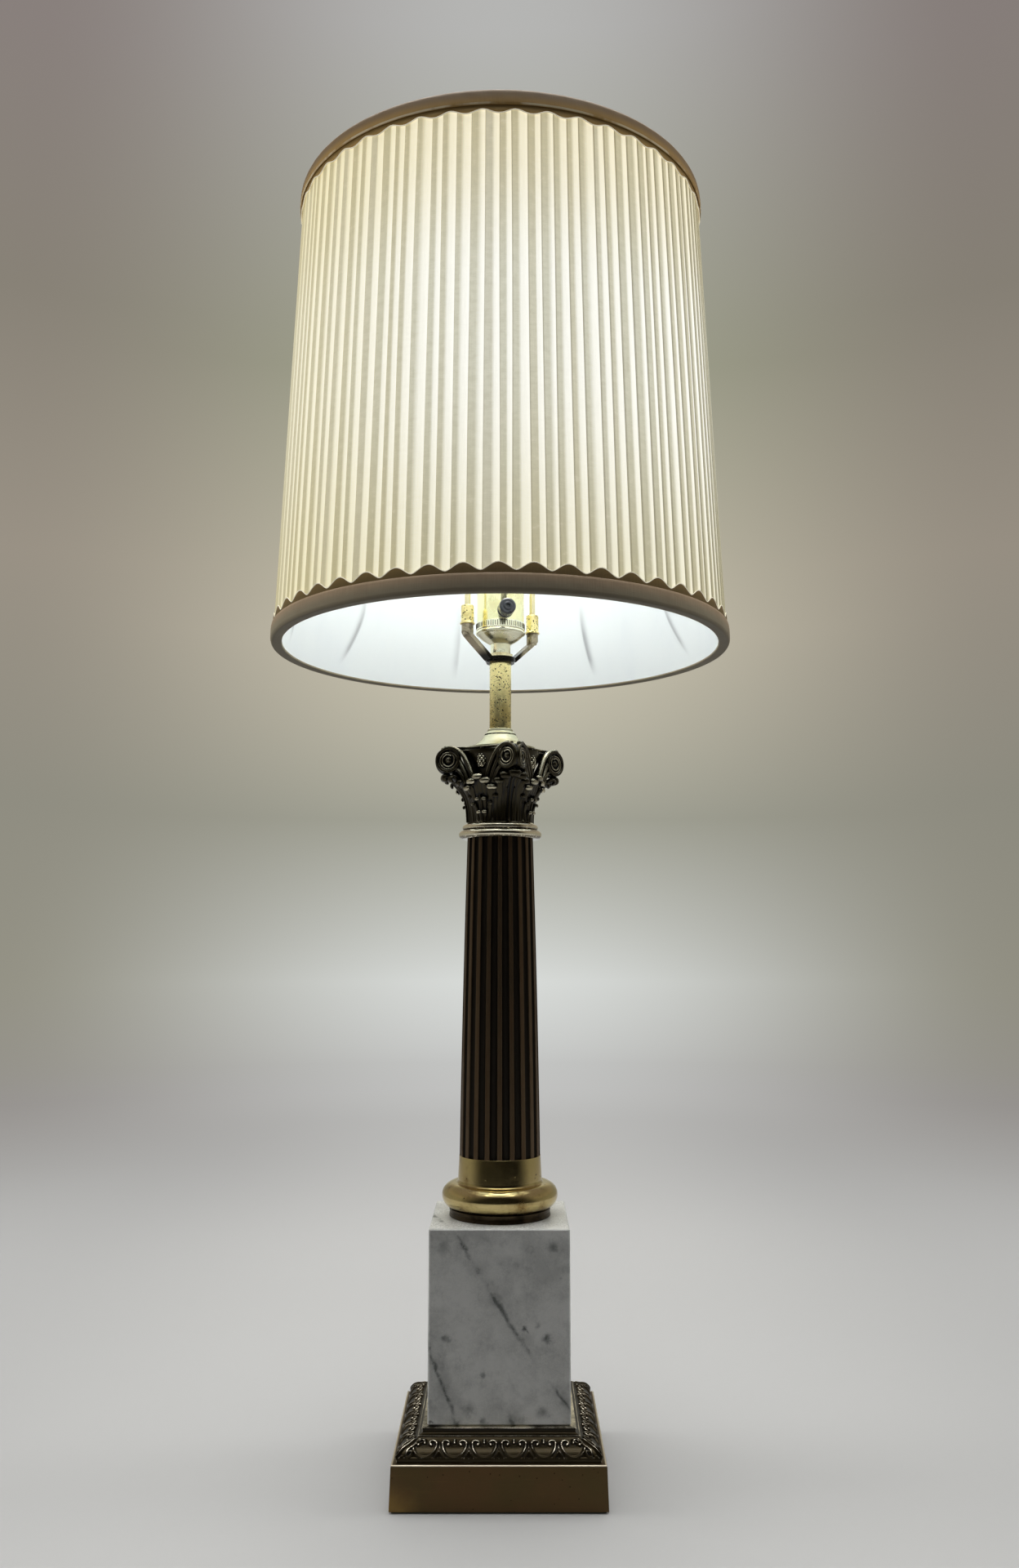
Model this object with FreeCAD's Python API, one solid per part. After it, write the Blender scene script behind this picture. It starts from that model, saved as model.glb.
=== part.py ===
"""Column table lamp: a marble and brass column on a square footed base, with a knife-pleated
drum shade carried by a harp.

Millimetres, +Z up, origin at the centre of the underside, front towards -Y.
Every piece is a solid of its own, written to parts/NODE.step.
"""

import FreeCAD
import Part
import math
import os

# ---------------------------------------------------------------- driving dimensions (mm)
# Base casting and what closes it
FELT_THICKNESS = 1.2
FELT_INSET = 1.5
SKIRT_HALF_LOW = 70.7
SKIRT_HALF_HIGH = 69.8
SKIRT_HEIGHT = 27.9
FILLET_HALF = 66.4
FILLET_HEIGHT = 2.7
CYMA_HALF_HIGH = 53.4
CYMA_HEIGHT = 9.8
NECK_HALF = 50.4
NECK_HEIGHT = 3.5
PLATFORM_HALF = 51.0
PLATFORM_HEIGHT = 0.7
CASTING_WALL = 4.0
CASTING_ROOF = 6.0

# Cord outlet at the back of the skirt
OUTLET_HEIGHT = 14.0
OUTLET_BORE = 3.3
BUSHING_WALL = 1.4
BUSHING_FLANGE = 1.6
BUSHING_FLANGE_RADIUS = 7.2
BUSHING_INNER_LENGTH = 2.5

# Hollow pipe that clamps the stack, with its hardware
PIPE_RADIUS = 4.85
PIPE_BORE = 3.2
PIPE_BELOW_NUT = 3.0
NUT_ACROSS_FLATS = 19.0
NUT_HEIGHT = 4.8
PIPE_WASHER_RADIUS = 12.7
PIPE_WASHER_THICKNESS = 1.6

# Marble block
BLOCK_SIDE = 95.25
BLOCK_HEIGHT = 126.0
BLOCK_EDGE = 0.9
BLOCK_BORE = 6.35

# Foot ring and turned column base
FOOT_RADIUS = 35.9
FOOT_HEIGHT = 5.7
FOOT_GROOVE = 0.8
TORUS_RADIUS = 41.1
TORUS_BAND = 8.6
COLLAR_FLARE = 30.6
COLLAR_LOW_RADIUS = 29.9
COLLAR_HIGH_RADIUS = 28.95
COLLAR_HEIGHT = 18.6
COLLAR_WALL = 2.4

# Fluted shaft
SHAFT_LOW_RADIUS = 28.7
SHAFT_HIGH_RADIUS = 24.0
SHAFT_SWELL = 0.45
SHAFT_LENGTH = 225.0
SHAFT_BORE = 17.5
SHAFT_SPIGOT = 13.0
FLUTES = 20
FLUTE_SHARE = 0.64
FLUTE_DEPTH_SHARE = 0.42

# Neck ring under the capital
RING_BEAD_RADIUS = 30.5
RING_BEAD_HEIGHT = 6.4
RING_BEVEL_RADIUS = 27.5
RING_TOP_RADIUS = 24.0
RING_HEIGHT = 11.7

# Capital
CAPITAL_HEIGHT = 55.0
CAPITAL_TURN = -78.0
BELL_LOW_RADIUS = 21.6
BELL_HIGH_RADIUS = 25.0
LEAF_THICKNESS = 1.6
CORNER_LEAF_THICKNESS = 2.6
LOW_LEAF_TIP = 29.6
LOW_LEAF_RISE = 17.0
MIDDLE_LEAF_TIP = 32.8
MIDDLE_LEAF_RISE = 24.4
HIGH_LEAF_TIP = 34.4
HIGH_LEAF_RISE = 32.0
CORNER_LEAF_TIP = 44.6
CORNER_LEAF_RISE = 33.0
SCROLL_RADIUS = 9.5
SCROLL_RIBBON = 1.8
SCROLL_WIDTH = 4.8
SCROLL_WEB = 2.4
SCROLL_EYE = 2.3
SCROLL_TURN = 30.0
SCROLL_REACH = 49.3
SCROLL_BELOW_TOP = 0.4
ABACUS_CORNER = 36.0
ABACUS_CORNER_HALF = 3.4
ABACUS_WAIST = 26.2
ABACUS_THICKNESS = 2.8
FLOWER_RADIUS = 4.1
FLOWER_HEIGHT = 13.4
FLOWER_BELOW_TOP = 3.6

# Bell-shaped cover, seat ring and riser above the capital
COVER_LOW_RADIUS = 26.0
COVER_HIGH_RADIUS = 12.1
COVER_HEIGHT = 10.4
SEAT_LOW_RADIUS = 11.6
SEAT_HIGH_RADIUS = 9.4
SEAT_HEIGHT = 4.8
RISER_RADIUS = 8.0
RISER_WALL = 1.0
RISER_LENGTH = 49.8

# Harp saddle
SADDLE_WASHER_RADIUS = 10.4
SADDLE_WASHER_THICKNESS = 1.6
SADDLE_HUB_RADIUS = 11.2
SADDLE_THICKNESS = 2.4
SADDLE_STRAP = 2.9
SADDLE_SLOPE = 41.0
SADDLE_WIDTH = 8.6
SADDLE_RISE = 16.4
SADDLE_TURN = 33.0
HARP_FOOT = 28.8
POST_RADIUS = 3.4
POST_SHOULDER = 4.4
POST_HEIGHT = 16.0
SHOULDER_HEIGHT = 8.2
SADDLE_NUT_FLATS = 15.8
SADDLE_NUT_HEIGHT = 3.0

# Socket
CAP_NECK_RADIUS = 7.4
CAP_NECK_HEIGHT = 7.0
CAP_BEAD_RADIUS = 18.4
CAP_BOWL_HEIGHT = 8.2
CAP_RIM_HEIGHT = 8.0
CAP_WALL = 0.8
SHELL_RADIUS = 17.5
SHELL_WALL = 0.5
SHELL_HEIGHT = 46.0
LINER_WALL = 0.6
BODY_RADIUS = 15.7
BODY_HEIGHT = 21.0
BODY_BOSS_RADIUS = 7.5
BODY_FLOOR = 2.0
TERMINAL_FLAT = 13.0
TERMINAL_POCKET = 6.0
TERMINAL_HEAD_RADIUS = 3.0
TERMINAL_HEAD_HEIGHT = 1.7
TERMINAL_SHANK_RADIUS = 1.6
TERMINAL_SHANK_LENGTH = 4.0
SCREW_SHELL_RADIUS = 13.8
SCREW_SHELL_WALL = 0.4
SCREW_SHELL_HEIGHT = 22.0
CONTACT_RADIUS = 4.0
CONTACT_THICKNESS = 1.2
SET_SCREW_RADIUS = 1.5
SET_SCREW_LENGTH = 5.4
KNOB_TURN = -81.0
KNOB_ABOVE_SEAT = 28.0
KNOB_RADIUS = 6.0
KNOB_LENGTH = 15.4
KNOB_GAP = 4.6
KNOB_STEM_RADIUS = 2.2
KNOB_STEM_IN = 9.5
KNOB_HOLE_RADIUS = 1.5
KNOB_HOLE_DEPTH = 3.0

# Bulb
BULB_RADIUS = 30.0
BULB_NECK_RADIUS = 13.0
BULB_BASE_RADIUS = 13.2
BULB_BASE_HEIGHT = 20.6
BULB_NECK_HEIGHT = 31.4
BULB_TIP_RADIUS = 4.6
BULB_TIP_HEIGHT = 1.6
BULB_INSULATOR_HEIGHT = 3.6

# Harp, sleeves and the stud that carries the shade
HARP_WIRE = 2.2
HARP_HEIGHT = 297.0
HARP_HALF_WIDTH = 55.2
HARP_LEG = 34.0
HARP_SPLAY = 30.0
HARP_FOOT_BEND = 25.0
HARP_ELBOW_BEND = 60.0
HARP_CROWN_BEND = 52.0
HARP_CROWN_TURN = 86.0
HARP_SEAT_RADIUS = 9.0
HARP_SEAT_THICKNESS = 3.0
HARP_END_COLLAR = 3.4
HARP_END_LENGTH = 4.0
SLEEVE_RADIUS = 4.7
SLEEVE_HEIGHT = 14.2
SLEEVE_LIP = 1.8
SLEEVE_SKIRT_RADIUS = 5.4
SLEEVE_SKIRT_HEIGHT = 1.1
STUD_RADIUS = 3.05
STUD_HEAD_RADIUS = 5.2
STUD_HEAD_THICKNESS = 2.2
STUD_FLANGE_RADIUS = 7.0
STUD_FLANGE_THICKNESS = 1.5
STUD_THREAD_LENGTH = 16.0

# Shade
SHADE_LOW_RADIUS = 169.7
SHADE_HIGH_RADIUS = 153.95
SHADE_HEIGHT = 344.0
SHADE_FRAME_WIRE = 1.2
SPIDER_ARMS = 3
SPIDER_TURN = 90.0
SPIDER_WIRE = 1.8
SPIDER_HUB_RADIUS = 12.0
SPIDER_HUB_THICKNESS = 2.0
SPIDER_DROP = 14.7
RIBS = 9
RIB_TURN = -104.0
RIB_WIRE = 1.1
PLEATS = 104
PLEAT_DEPTH = 1.5
PLEAT_STEP_SHARE = 0.06
COVER_CLOTH = 0.5
LINER_CLOTH = 0.4
BAND_CLOTH = 1.0
BAND_HEIGHT_LOW = 12.0
BAND_HEIGHT_HIGH = 10.0
BAND_LIP = 4.0
BRAID_CLOTH = 0.6
BRAID_WAVE = 5.3
BRAID_TROUGH_LOW = 13.7
BRAID_TROUGH_HIGH = 12.4
BRAID_WAVE_HIGH = 2.9
BRAID_TUCK = 3.0
SCALLOPS_LOW = 47
SCALLOPS_HIGH = 44

# Finial
FINIAL_HEIGHT = 29.0
FINIAL_BASE_RADIUS = 7.6
FINIAL_NECK_RADIUS = 4.8
FINIAL_BALL_RADIUS = 8.6
FINIAL_TIP_RADIUS = 2.4
FINIAL_BORE_DEPTH = 15.5

# Clearances
BORE_CLEARANCE = 0.4
THREAD_CLEARANCE = 0.05
RUNNING_CLEARANCE = 0.08
SLIP_CLEARANCE = 0.1
LAYER_GAP = 0.3
TURN_GAP = 0.15

# Facets round the shade: each layer is a many-sided ring
FRAME_SIDES = 52
BAND_SIDES = 64
WAVE_STEPS = 4

# ---------------------------------------------------------------- levels, from the floor up
CASTING_HEIGHT = SKIRT_HEIGHT + FILLET_HEIGHT + CYMA_HEIGHT + NECK_HEIGHT + PLATFORM_HEIGHT
COLUMN_BASE_HEIGHT = 2.0 * TORUS_BAND + COLLAR_HEIGHT
Z_CASTING = FELT_THICKNESS
Z_BLOCK = Z_CASTING + CASTING_HEIGHT
Z_FOOT = Z_BLOCK + BLOCK_HEIGHT
Z_COLUMN_BASE = Z_FOOT + FOOT_HEIGHT
Z_SHAFT = Z_COLUMN_BASE + COLUMN_BASE_HEIGHT
Z_RING = Z_SHAFT + SHAFT_LENGTH
Z_CAPITAL = Z_RING + RING_HEIGHT
Z_COVER = Z_CAPITAL + CAPITAL_HEIGHT
Z_SEAT = Z_COVER + COVER_HEIGHT
Z_RISER = Z_SEAT + SEAT_HEIGHT
Z_WASHER = Z_RISER + RISER_LENGTH
Z_SADDLE = Z_WASHER + SADDLE_WASHER_THICKNESS
Z_SADDLE_NUT = Z_SADDLE + SADDLE_THICKNESS
Z_CAP = Z_SADDLE_NUT + SADDLE_NUT_HEIGHT
Z_BOWL = Z_CAP + CAP_NECK_HEIGHT
Z_BEAD = Z_BOWL + CAP_BOWL_HEIGHT
Z_RIM = Z_BEAD + CAP_RIM_HEIGHT
Z_CAP_FLOOR = Z_BOWL + CAP_WALL
Z_SHELL = Z_BEAD + CAP_WALL
Z_SHELL_TOP = Z_SHELL + SHELL_HEIGHT
Z_BODY = Z_SHELL + CAP_WALL
Z_BODY_TOP = Z_BODY + BODY_HEIGHT
Z_KNOB = Z_CAP + KNOB_ABOVE_SEAT
Z_BULB = Z_BODY_TOP + CONTACT_THICKNESS + TURN_GAP
Z_BULB_BASE = Z_BULB + BULB_TIP_HEIGHT + BULB_INSULATOR_HEIGHT
Z_GLASS = Z_BULB_BASE + BULB_BASE_HEIGHT
Z_POST = Z_SADDLE + SADDLE_RISE
Z_SLEEVE = Z_POST + SHOULDER_HEIGHT
Z_HARP = Z_POST + POST_HEIGHT
Z_HARP_SEAT = Z_HARP + HARP_HEIGHT
Z_HARP_SEAT_TOP = Z_HARP_SEAT + HARP_SEAT_THICKNESS
Z_STUD_FLANGE = Z_HARP_SEAT_TOP + TURN_GAP
Z_HUB = Z_STUD_FLANGE + STUD_FLANGE_THICKNESS
Z_HUB_TOP = Z_HUB + SPIDER_HUB_THICKNESS
Z_FINIAL = Z_HUB_TOP + TURN_GAP
Z_SHADE_TOP = Z_HUB + SPIDER_HUB_THICKNESS / 2.0 + SPIDER_DROP + BAND_CLOTH + SHADE_FRAME_WIRE
Z_SHADE = Z_SHADE_TOP - SHADE_HEIGHT

# Layers of the shade, as depths below its outer face
BRAID_DEPTH = BAND_CLOTH + LAYER_GAP
COVER_DEPTH = BRAID_DEPTH + BRAID_CLOTH + LAYER_GAP
COVER_BACK_DEPTH = COVER_DEPTH + PLEAT_DEPTH + COVER_CLOTH
FRAME_DEPTH = COVER_BACK_DEPTH + LAYER_GAP + SHADE_FRAME_WIRE
LINER_DEPTH = FRAME_DEPTH + SHADE_FRAME_WIRE + 2.0 * LAYER_GAP
LIP_DEPTH = LINER_DEPTH + LINER_CLOTH + LAYER_GAP
FRAME_INSET = BAND_CLOTH + SHADE_FRAME_WIRE

UP = FreeCAD.Vector(0, 0, 1)
ORIGIN = FreeCAD.Vector(0, 0, 0)


# ---------------------------------------------------------------- geometry helpers
def point(radius, angle, height):
    """A point from its distance to the lamp's axis, its direction in degrees and its height."""
    turn = math.radians(angle)
    return FreeCAD.Vector(radius * math.cos(turn), radius * math.sin(turn), height)


def direction(angle):
    return point(1.0, angle, 0.0)


class Outline:
    """A closed outline in the XZ plane, drawn with straight runs and arcs."""

    def __init__(self, radius, height):
        self.start = FreeCAD.Vector(radius, 0, height)
        self.at = self.start
        self.edges = []

    def line(self, radius, height):
        end = FreeCAD.Vector(radius, 0, height)
        self.edges.append(Part.makeLine(self.at, end))
        self.at = end
        return self

    def arc(self, via_radius, via_height, radius, height):
        end = FreeCAD.Vector(radius, 0, height)
        via = FreeCAD.Vector(via_radius, 0, via_height)
        self.edges.append(Part.Arc(self.at, via, end).toShape())
        self.at = end
        return self

    def face(self):
        if self.at.distanceToPoint(self.start) > 1e-6:
            self.line(self.start.x, self.start.z)
        return Part.Face(Part.Wire(self.edges))

    def revolved(self):
        return self.face().revolve(ORIGIN, UP, 360)


def tube(outer, inner, low, high):
    """A straight tube about the lamp's axis."""
    body = Part.makeCylinder(outer, high - low, FreeCAD.Vector(0, 0, low))
    bore = Part.makeCylinder(inner, high - low, FreeCAD.Vector(0, 0, low))
    return body.cut(bore)


def pipe_hole(low, high, radius=PIPE_RADIUS + BORE_CLEARANCE):
    """What is cut out of a piece so that the clamping pipe passes through it."""
    return Part.makeCylinder(radius, high - low + 2.0, FreeCAD.Vector(0, 0, low - 1.0))


def hexagon_nut(across_flats, height, low, bore):
    """A hexagon nut on the lamp's axis."""
    corner = across_flats / math.sqrt(3.0)
    corners = [point(corner, 60.0 * i, low) for i in range(7)]
    body = Part.Face(Part.makePolygon(corners)).extrude(FreeCAD.Vector(0, 0, height))
    return body.cut(pipe_hole(low, low + height, bore))


def square_moulding(half_outline, half_depth):
    """A square piece with the same moulding on its four sides, mitred at the corners."""
    slab = half_outline.face()
    slab = slab.fuse(slab.mirror(ORIGIN, FreeCAD.Vector(1, 0, 0)))
    slab.translate(FreeCAD.Vector(0, -half_depth, 0))
    along_y = slab.extrude(FreeCAD.Vector(0, 2.0 * half_depth, 0))
    along_x = along_y.copy()
    along_x.rotate(ORIGIN, UP, 90)
    quarters = along_y.common(along_x).Solids
    return quarters[0].fuse(quarters[1:]).removeSplitter()


def square_block(half, low, high):
    corner = FreeCAD.Vector(-half, -half, low)
    return Part.makeBox(2.0 * half, 2.0 * half, high - low, corner)


def ring_points(radius, height, sides, phase=0.0):
    return [point(radius, phase + 360.0 * i / sides, height) for i in range(sides)]


def wall(low, high, flat=True):
    """Faces between two closed rings of points. A wall that twists is split into triangles."""
    count = len(low)
    faces = []
    for i in range(count):
        a, b = low[i], low[(i + 1) % count]
        c, d = high[(i + 1) % count], high[i]
        corners = [[a, b, c, d, a]] if flat else [[a, b, c, a], [a, c, d, a]]
        faces += [Part.Face(Part.makePolygon(loop)) for loop in corners]
    return faces


def flat_ring(outer, inner):
    """The flat face between two closed rings of points at one height."""
    disc = Part.Face(Part.makePolygon(outer + outer[:1]))
    return disc.cut(Part.Face(Part.makePolygon(inner + inner[:1]))).Faces[0]


def solid_of(faces):
    """The closed solid that a set of faces bounds."""
    shell = Part.makeShell(faces)
    shell.sewShape()
    return Part.makeSolid(shell)


def faceted_ring(section, sides):
    """A many-sided ring whose section is a closed list of (radius, height)."""
    rings = [ring_points(radius, height, sides) for radius, height in section]
    faces = []
    for i in range(len(rings)):
        faces += wall(rings[i - 1], rings[i])
    return solid_of(faces)


def shade_radius(height, depth=0.0):
    """The shade's radius at a height, a given depth below its outer face."""
    share = (height - Z_SHADE) / SHADE_HEIGHT
    return SHADE_LOW_RADIUS + (SHADE_HIGH_RADIUS - SHADE_LOW_RADIUS) * share - depth


# ---------------------------------------------------------------- base
def skirt_half_at(height):
    """Half the skirt's width at a height above the floor."""
    share = (height - Z_CASTING) / SKIRT_HEIGHT
    return SKIRT_HALF_LOW + (SKIRT_HALF_HIGH - SKIRT_HALF_LOW) * share


def outlet_face():
    """How far back the flat spot for the bushing's flange lies."""
    return skirt_half_at(OUTLET_HEIGHT + BUSHING_FLANGE_RADIUS) - LAYER_GAP


def rearward_cylinder(radius, front, back):
    """A cylinder along +Y at the height of the cord outlet."""
    start = FreeCAD.Vector(0, front, OUTLET_HEIGHT)
    return Part.makeCylinder(radius, back - front, start, FreeCAD.Vector(0, 1, 0))


def base_casting():
    z_skirt = Z_CASTING + SKIRT_HEIGHT
    z_fillet = z_skirt + FILLET_HEIGHT
    z_cyma = z_fillet + CYMA_HEIGHT
    z_neck = z_cyma + NECK_HEIGHT
    middle = (FILLET_HALF + CYMA_HALF_HIGH) / 2.0
    bulge = (FILLET_HALF - CYMA_HALF_HIGH) / 4.0
    half = Outline(0.0, Z_CASTING)
    half.line(SKIRT_HALF_LOW, Z_CASTING).line(SKIRT_HALF_HIGH, z_skirt)
    half.line(FILLET_HALF, z_skirt + FILLET_HEIGHT * 0.2).line(FILLET_HALF, z_fillet)
    half.arc(middle + bulge + 0.9, z_fillet + CYMA_HEIGHT * 0.36, middle, z_fillet + CYMA_HEIGHT * 0.6)
    half.arc(middle - bulge - 0.5, z_fillet + CYMA_HEIGHT * 0.76, CYMA_HALF_HIGH, z_cyma - 0.8)
    half.line(CYMA_HALF_HIGH, z_cyma).line(NECK_HALF, z_cyma + 1.2).line(NECK_HALF, z_neck)
    half.line(PLATFORM_HALF, z_neck).line(PLATFORM_HALF, Z_BLOCK).line(0.0, Z_BLOCK)
    body = square_moulding(half, SKIRT_HALF_LOW + 5.0)
    pocket_low = square_block(SKIRT_HALF_HIGH - CASTING_WALL, Z_CASTING - 1.0, z_skirt - CASTING_WALL)
    pocket_high = square_block(NECK_HALF - CASTING_WALL, Z_CASTING - 1.0, Z_BLOCK - CASTING_ROOF)
    spot = rearward_cylinder(BUSHING_FLANGE_RADIUS + LAYER_GAP, outlet_face(), SKIRT_HALF_LOW + 5.0)
    hole_radius = OUTLET_BORE + BUSHING_WALL + RUNNING_CLEARANCE
    hole = rearward_cylinder(hole_radius, SKIRT_HALF_HIGH - 2.0 * CASTING_WALL, SKIRT_HALF_LOW + 5.0)
    return body.cut([pocket_low, pocket_high, spot, hole, pipe_hole(Z_CASTING, Z_BLOCK)])


def base_felt():
    return square_block(SKIRT_HALF_LOW - FELT_INSET, 0.0, FELT_THICKNESS)


def cord_bushing():
    inner_end = SKIRT_HALF_HIGH - CASTING_WALL - BUSHING_INNER_LENGTH
    barrel = rearward_cylinder(OUTLET_BORE + BUSHING_WALL, inner_end, outlet_face())
    flange = rearward_cylinder(BUSHING_FLANGE_RADIUS, outlet_face(), outlet_face() + BUSHING_FLANGE)
    bore = rearward_cylinder(OUTLET_BORE, inner_end - 1.0, outlet_face() + BUSHING_FLANGE + 1.0)
    return barrel.fuse(flange).cut(bore).removeSplitter()


def pipe_washer():
    top = Z_BLOCK - CASTING_ROOF
    return tube(PIPE_WASHER_RADIUS, PIPE_RADIUS + BORE_CLEARANCE, top - PIPE_WASHER_THICKNESS, top)


def pipe_nut():
    top = Z_BLOCK - CASTING_ROOF - PIPE_WASHER_THICKNESS
    return hexagon_nut(NUT_ACROSS_FLATS, NUT_HEIGHT, top - NUT_HEIGHT, PIPE_RADIUS + THREAD_CLEARANCE)


def threaded_pipe():
    low = Z_BLOCK - CASTING_ROOF - PIPE_WASHER_THICKNESS - NUT_HEIGHT - PIPE_BELOW_NUT
    return tube(PIPE_RADIUS, PIPE_BORE, low, Z_BOWL)


def marble_block():
    body = square_block(BLOCK_SIDE / 2.0, Z_BLOCK, Z_FOOT)
    body = body.makeChamfer(BLOCK_EDGE, body.Edges)
    return body.cut(pipe_hole(Z_BLOCK, Z_FOOT, BLOCK_BORE))


# ---------------------------------------------------------------- column
def column_foot():
    bore = PIPE_RADIUS + BORE_CLEARANCE
    middle = Z_FOOT + FOOT_HEIGHT / 2.0
    outline = Outline(bore, Z_FOOT).line(FOOT_RADIUS, Z_FOOT).line(FOOT_RADIUS, middle - FOOT_GROOVE)
    outline.arc(FOOT_RADIUS - FOOT_GROOVE, middle, FOOT_RADIUS, middle + FOOT_GROOVE)
    outline.line(FOOT_RADIUS, Z_COLUMN_BASE).line(bore, Z_COLUMN_BASE)
    return outline.revolved()


def column_base():
    """Torus and tapered collar in one turning, with a seat inside for the shaft's spigot."""
    bore = PIPE_RADIUS + BORE_CLEARANCE
    torus_top = Z_COLUMN_BASE + 2.0 * TORUS_BAND
    seat = COLLAR_HIGH_RADIUS - COLLAR_WALL
    floor = Z_SHAFT - SHAFT_SPIGOT
    shoulder = TORUS_RADIUS - TORUS_BAND
    outline = Outline(bore, Z_COLUMN_BASE).line(shoulder, Z_COLUMN_BASE)
    outline.arc(TORUS_RADIUS, Z_COLUMN_BASE + TORUS_BAND, shoulder, torus_top)
    outline.line(COLLAR_FLARE, torus_top)
    outline.arc(COLLAR_LOW_RADIUS + 0.15, torus_top + 0.6, COLLAR_LOW_RADIUS, torus_top + 1.6)
    outline.line(COLLAR_HIGH_RADIUS, Z_SHAFT).line(seat, Z_SHAFT).line(seat, floor).line(bore, floor)
    return outline.revolved()


def fluted_section(radius, height):
    """The shaft's outline at one height: flat lands between round flutes, a land facing front."""
    pitch = 360.0 / FLUTES
    half_flute = pitch * FLUTE_SHARE / 2.0
    half_width = radius * math.sin(math.radians(half_flute))
    depth = 2.0 * half_width * FLUTE_DEPTH_SHARE
    edges = []
    for i in range(FLUTES):
        centre = -90.0 + pitch * (i + 0.5)
        start = point(radius, centre - half_flute, height)
        end = point(radius, centre + half_flute, height)
        land_end = point(radius, centre + pitch - half_flute, height)
        edges.append(Part.Arc(start, point(radius - depth, centre, height), end).toShape())
        edges.append(Part.makeLine(end, land_end))
    return Part.Wire(edges)


def column_shaft():
    middle_radius = (SHAFT_LOW_RADIUS + SHAFT_HIGH_RADIUS) / 2.0 + SHAFT_SWELL
    sections = [
        fluted_section(SHAFT_LOW_RADIUS, Z_SHAFT),
        fluted_section(middle_radius, Z_SHAFT + SHAFT_LENGTH / 2.0),
        fluted_section(SHAFT_HIGH_RADIUS, Z_RING),
    ]
    shaft = Part.makeLoft(sections, True, True)
    spigot_radius = COLLAR_HIGH_RADIUS - COLLAR_WALL - RUNNING_CLEARANCE
    spigot_low = FreeCAD.Vector(0, 0, Z_SHAFT - SHAFT_SPIGOT)
    spigot = Part.makeCylinder(spigot_radius, SHAFT_SPIGOT, spigot_low)
    bore = pipe_hole(Z_SHAFT - SHAFT_SPIGOT, Z_RING, SHAFT_BORE)
    return shaft.fuse(spigot).cut(bore)


def neck_ring():
    bore = PIPE_RADIUS + BORE_CLEARANCE
    bead_top = Z_RING + RING_BEAD_HEIGHT
    bead_edge = RING_BEAD_RADIUS - RING_BEAD_HEIGHT / 2.0
    outline = Outline(bore, Z_RING).line(bead_edge, Z_RING)
    outline.arc(RING_BEAD_RADIUS, Z_RING + RING_BEAD_HEIGHT / 2.0, bead_edge, bead_top)
    outline.line(RING_BEVEL_RADIUS, bead_top + 0.4).line(RING_BEVEL_RADIUS, bead_top + 2.0)
    outline.arc(RING_BEVEL_RADIUS - 1.0, bead_top + 4.0, RING_TOP_RADIUS, Z_CAPITAL)
    outline.line(bore, Z_CAPITAL)
    return outline.revolved()


# ---------------------------------------------------------------- capital
# A leaf from its root to its curled tip, as shares of its rise, its reach and its width. The
# width swells and shrinks, so that the edge is lobed.
STANDING_LEAF = (
    (0.00, 0.00, 0.80),
    (0.20, 0.05, 1.00),
    (0.40, 0.12, 0.84),
    (0.58, 0.22, 1.04),
    (0.75, 0.37, 0.82),
    (0.89, 0.58, 0.92),
    (0.98, 0.78, 0.68),
    (1.00, 0.92, 0.50),
    (0.93, 1.00, 0.30),
)
CORNER_LEAF = (
    (0.00, 0.00, 0.90),
    (0.27, 0.08, 1.00),
    (0.52, 0.24, 0.80),
    (0.72, 0.47, 0.95),
    (0.86, 0.72, 0.72),
    (0.96, 0.88, 0.74),
    (1.00, 0.96, 0.52),
    (0.93, 1.00, 0.30),
)
# Half of a leaf's section: the way across in half widths, and how far it stands out in
# thicknesses. The middle rib stands out most.
LEAF_SECTION = ((1.0, 0.0), (0.94, 0.55), (0.5, 0.85), (0.16, 0.6), (0.0, 1.1))
LEAF_BACK = -1.4


def capital_bell():
    rise = CAPITAL_HEIGHT - ABACUS_THICKNESS
    spread = BELL_HIGH_RADIUS - BELL_LOW_RADIUS
    top = Z_CAPITAL + rise
    outline = Outline(0.0, Z_CAPITAL).line(BELL_LOW_RADIUS, Z_CAPITAL)
    outline.arc(
        BELL_LOW_RADIUS + spread * 0.2, Z_CAPITAL + rise * 0.55, BELL_HIGH_RADIUS, top - 2.0
    )
    outline.line(BELL_HIGH_RADIUS, top).line(0.0, top)
    return outline.revolved()


def leaf(shape, root, tip, rise, width, angle, thickness=LEAF_THICKNESS):
    """An acanthus leaf that hugs the bell, then rolls out and over at its tip."""
    low = Z_CAPITAL + LAYER_GAP
    reach = tip - root
    path = [(root + reach * out, low + rise * up, width * wide) for up, out, wide in shape]
    sections = []
    for i, (radius, height, across) in enumerate(path):
        before = path[max(i - 1, 0)]
        after = path[min(i + 1, len(path) - 1)]
        along = math.hypot(after[0] - before[0], after[1] - before[1])
        out_radius = (after[1] - before[1]) / along
        out_height = (before[0] - after[0]) / along
        right = [(share * across / 2.0, outward) for share, outward in LEAF_SECTION]
        left = [(-aside, outward) for aside, outward in reversed(right[:-1])]
        corners = []
        for aside, outward in right + left + [(0.0, LEAF_BACK)]:
            hug = aside * aside / (2.0 * radius)
            stand = outward * thickness - hug
            corners.append(
                FreeCAD.Vector(radius + out_radius * stand, aside, height + out_height * stand)
            )
        sections.append(Part.makePolygon(corners + corners[:1]))
    tongue = Part.makeLoft(sections, True, True)
    tongue.rotate(ORIGIN, UP, angle)
    return tongue


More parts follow.
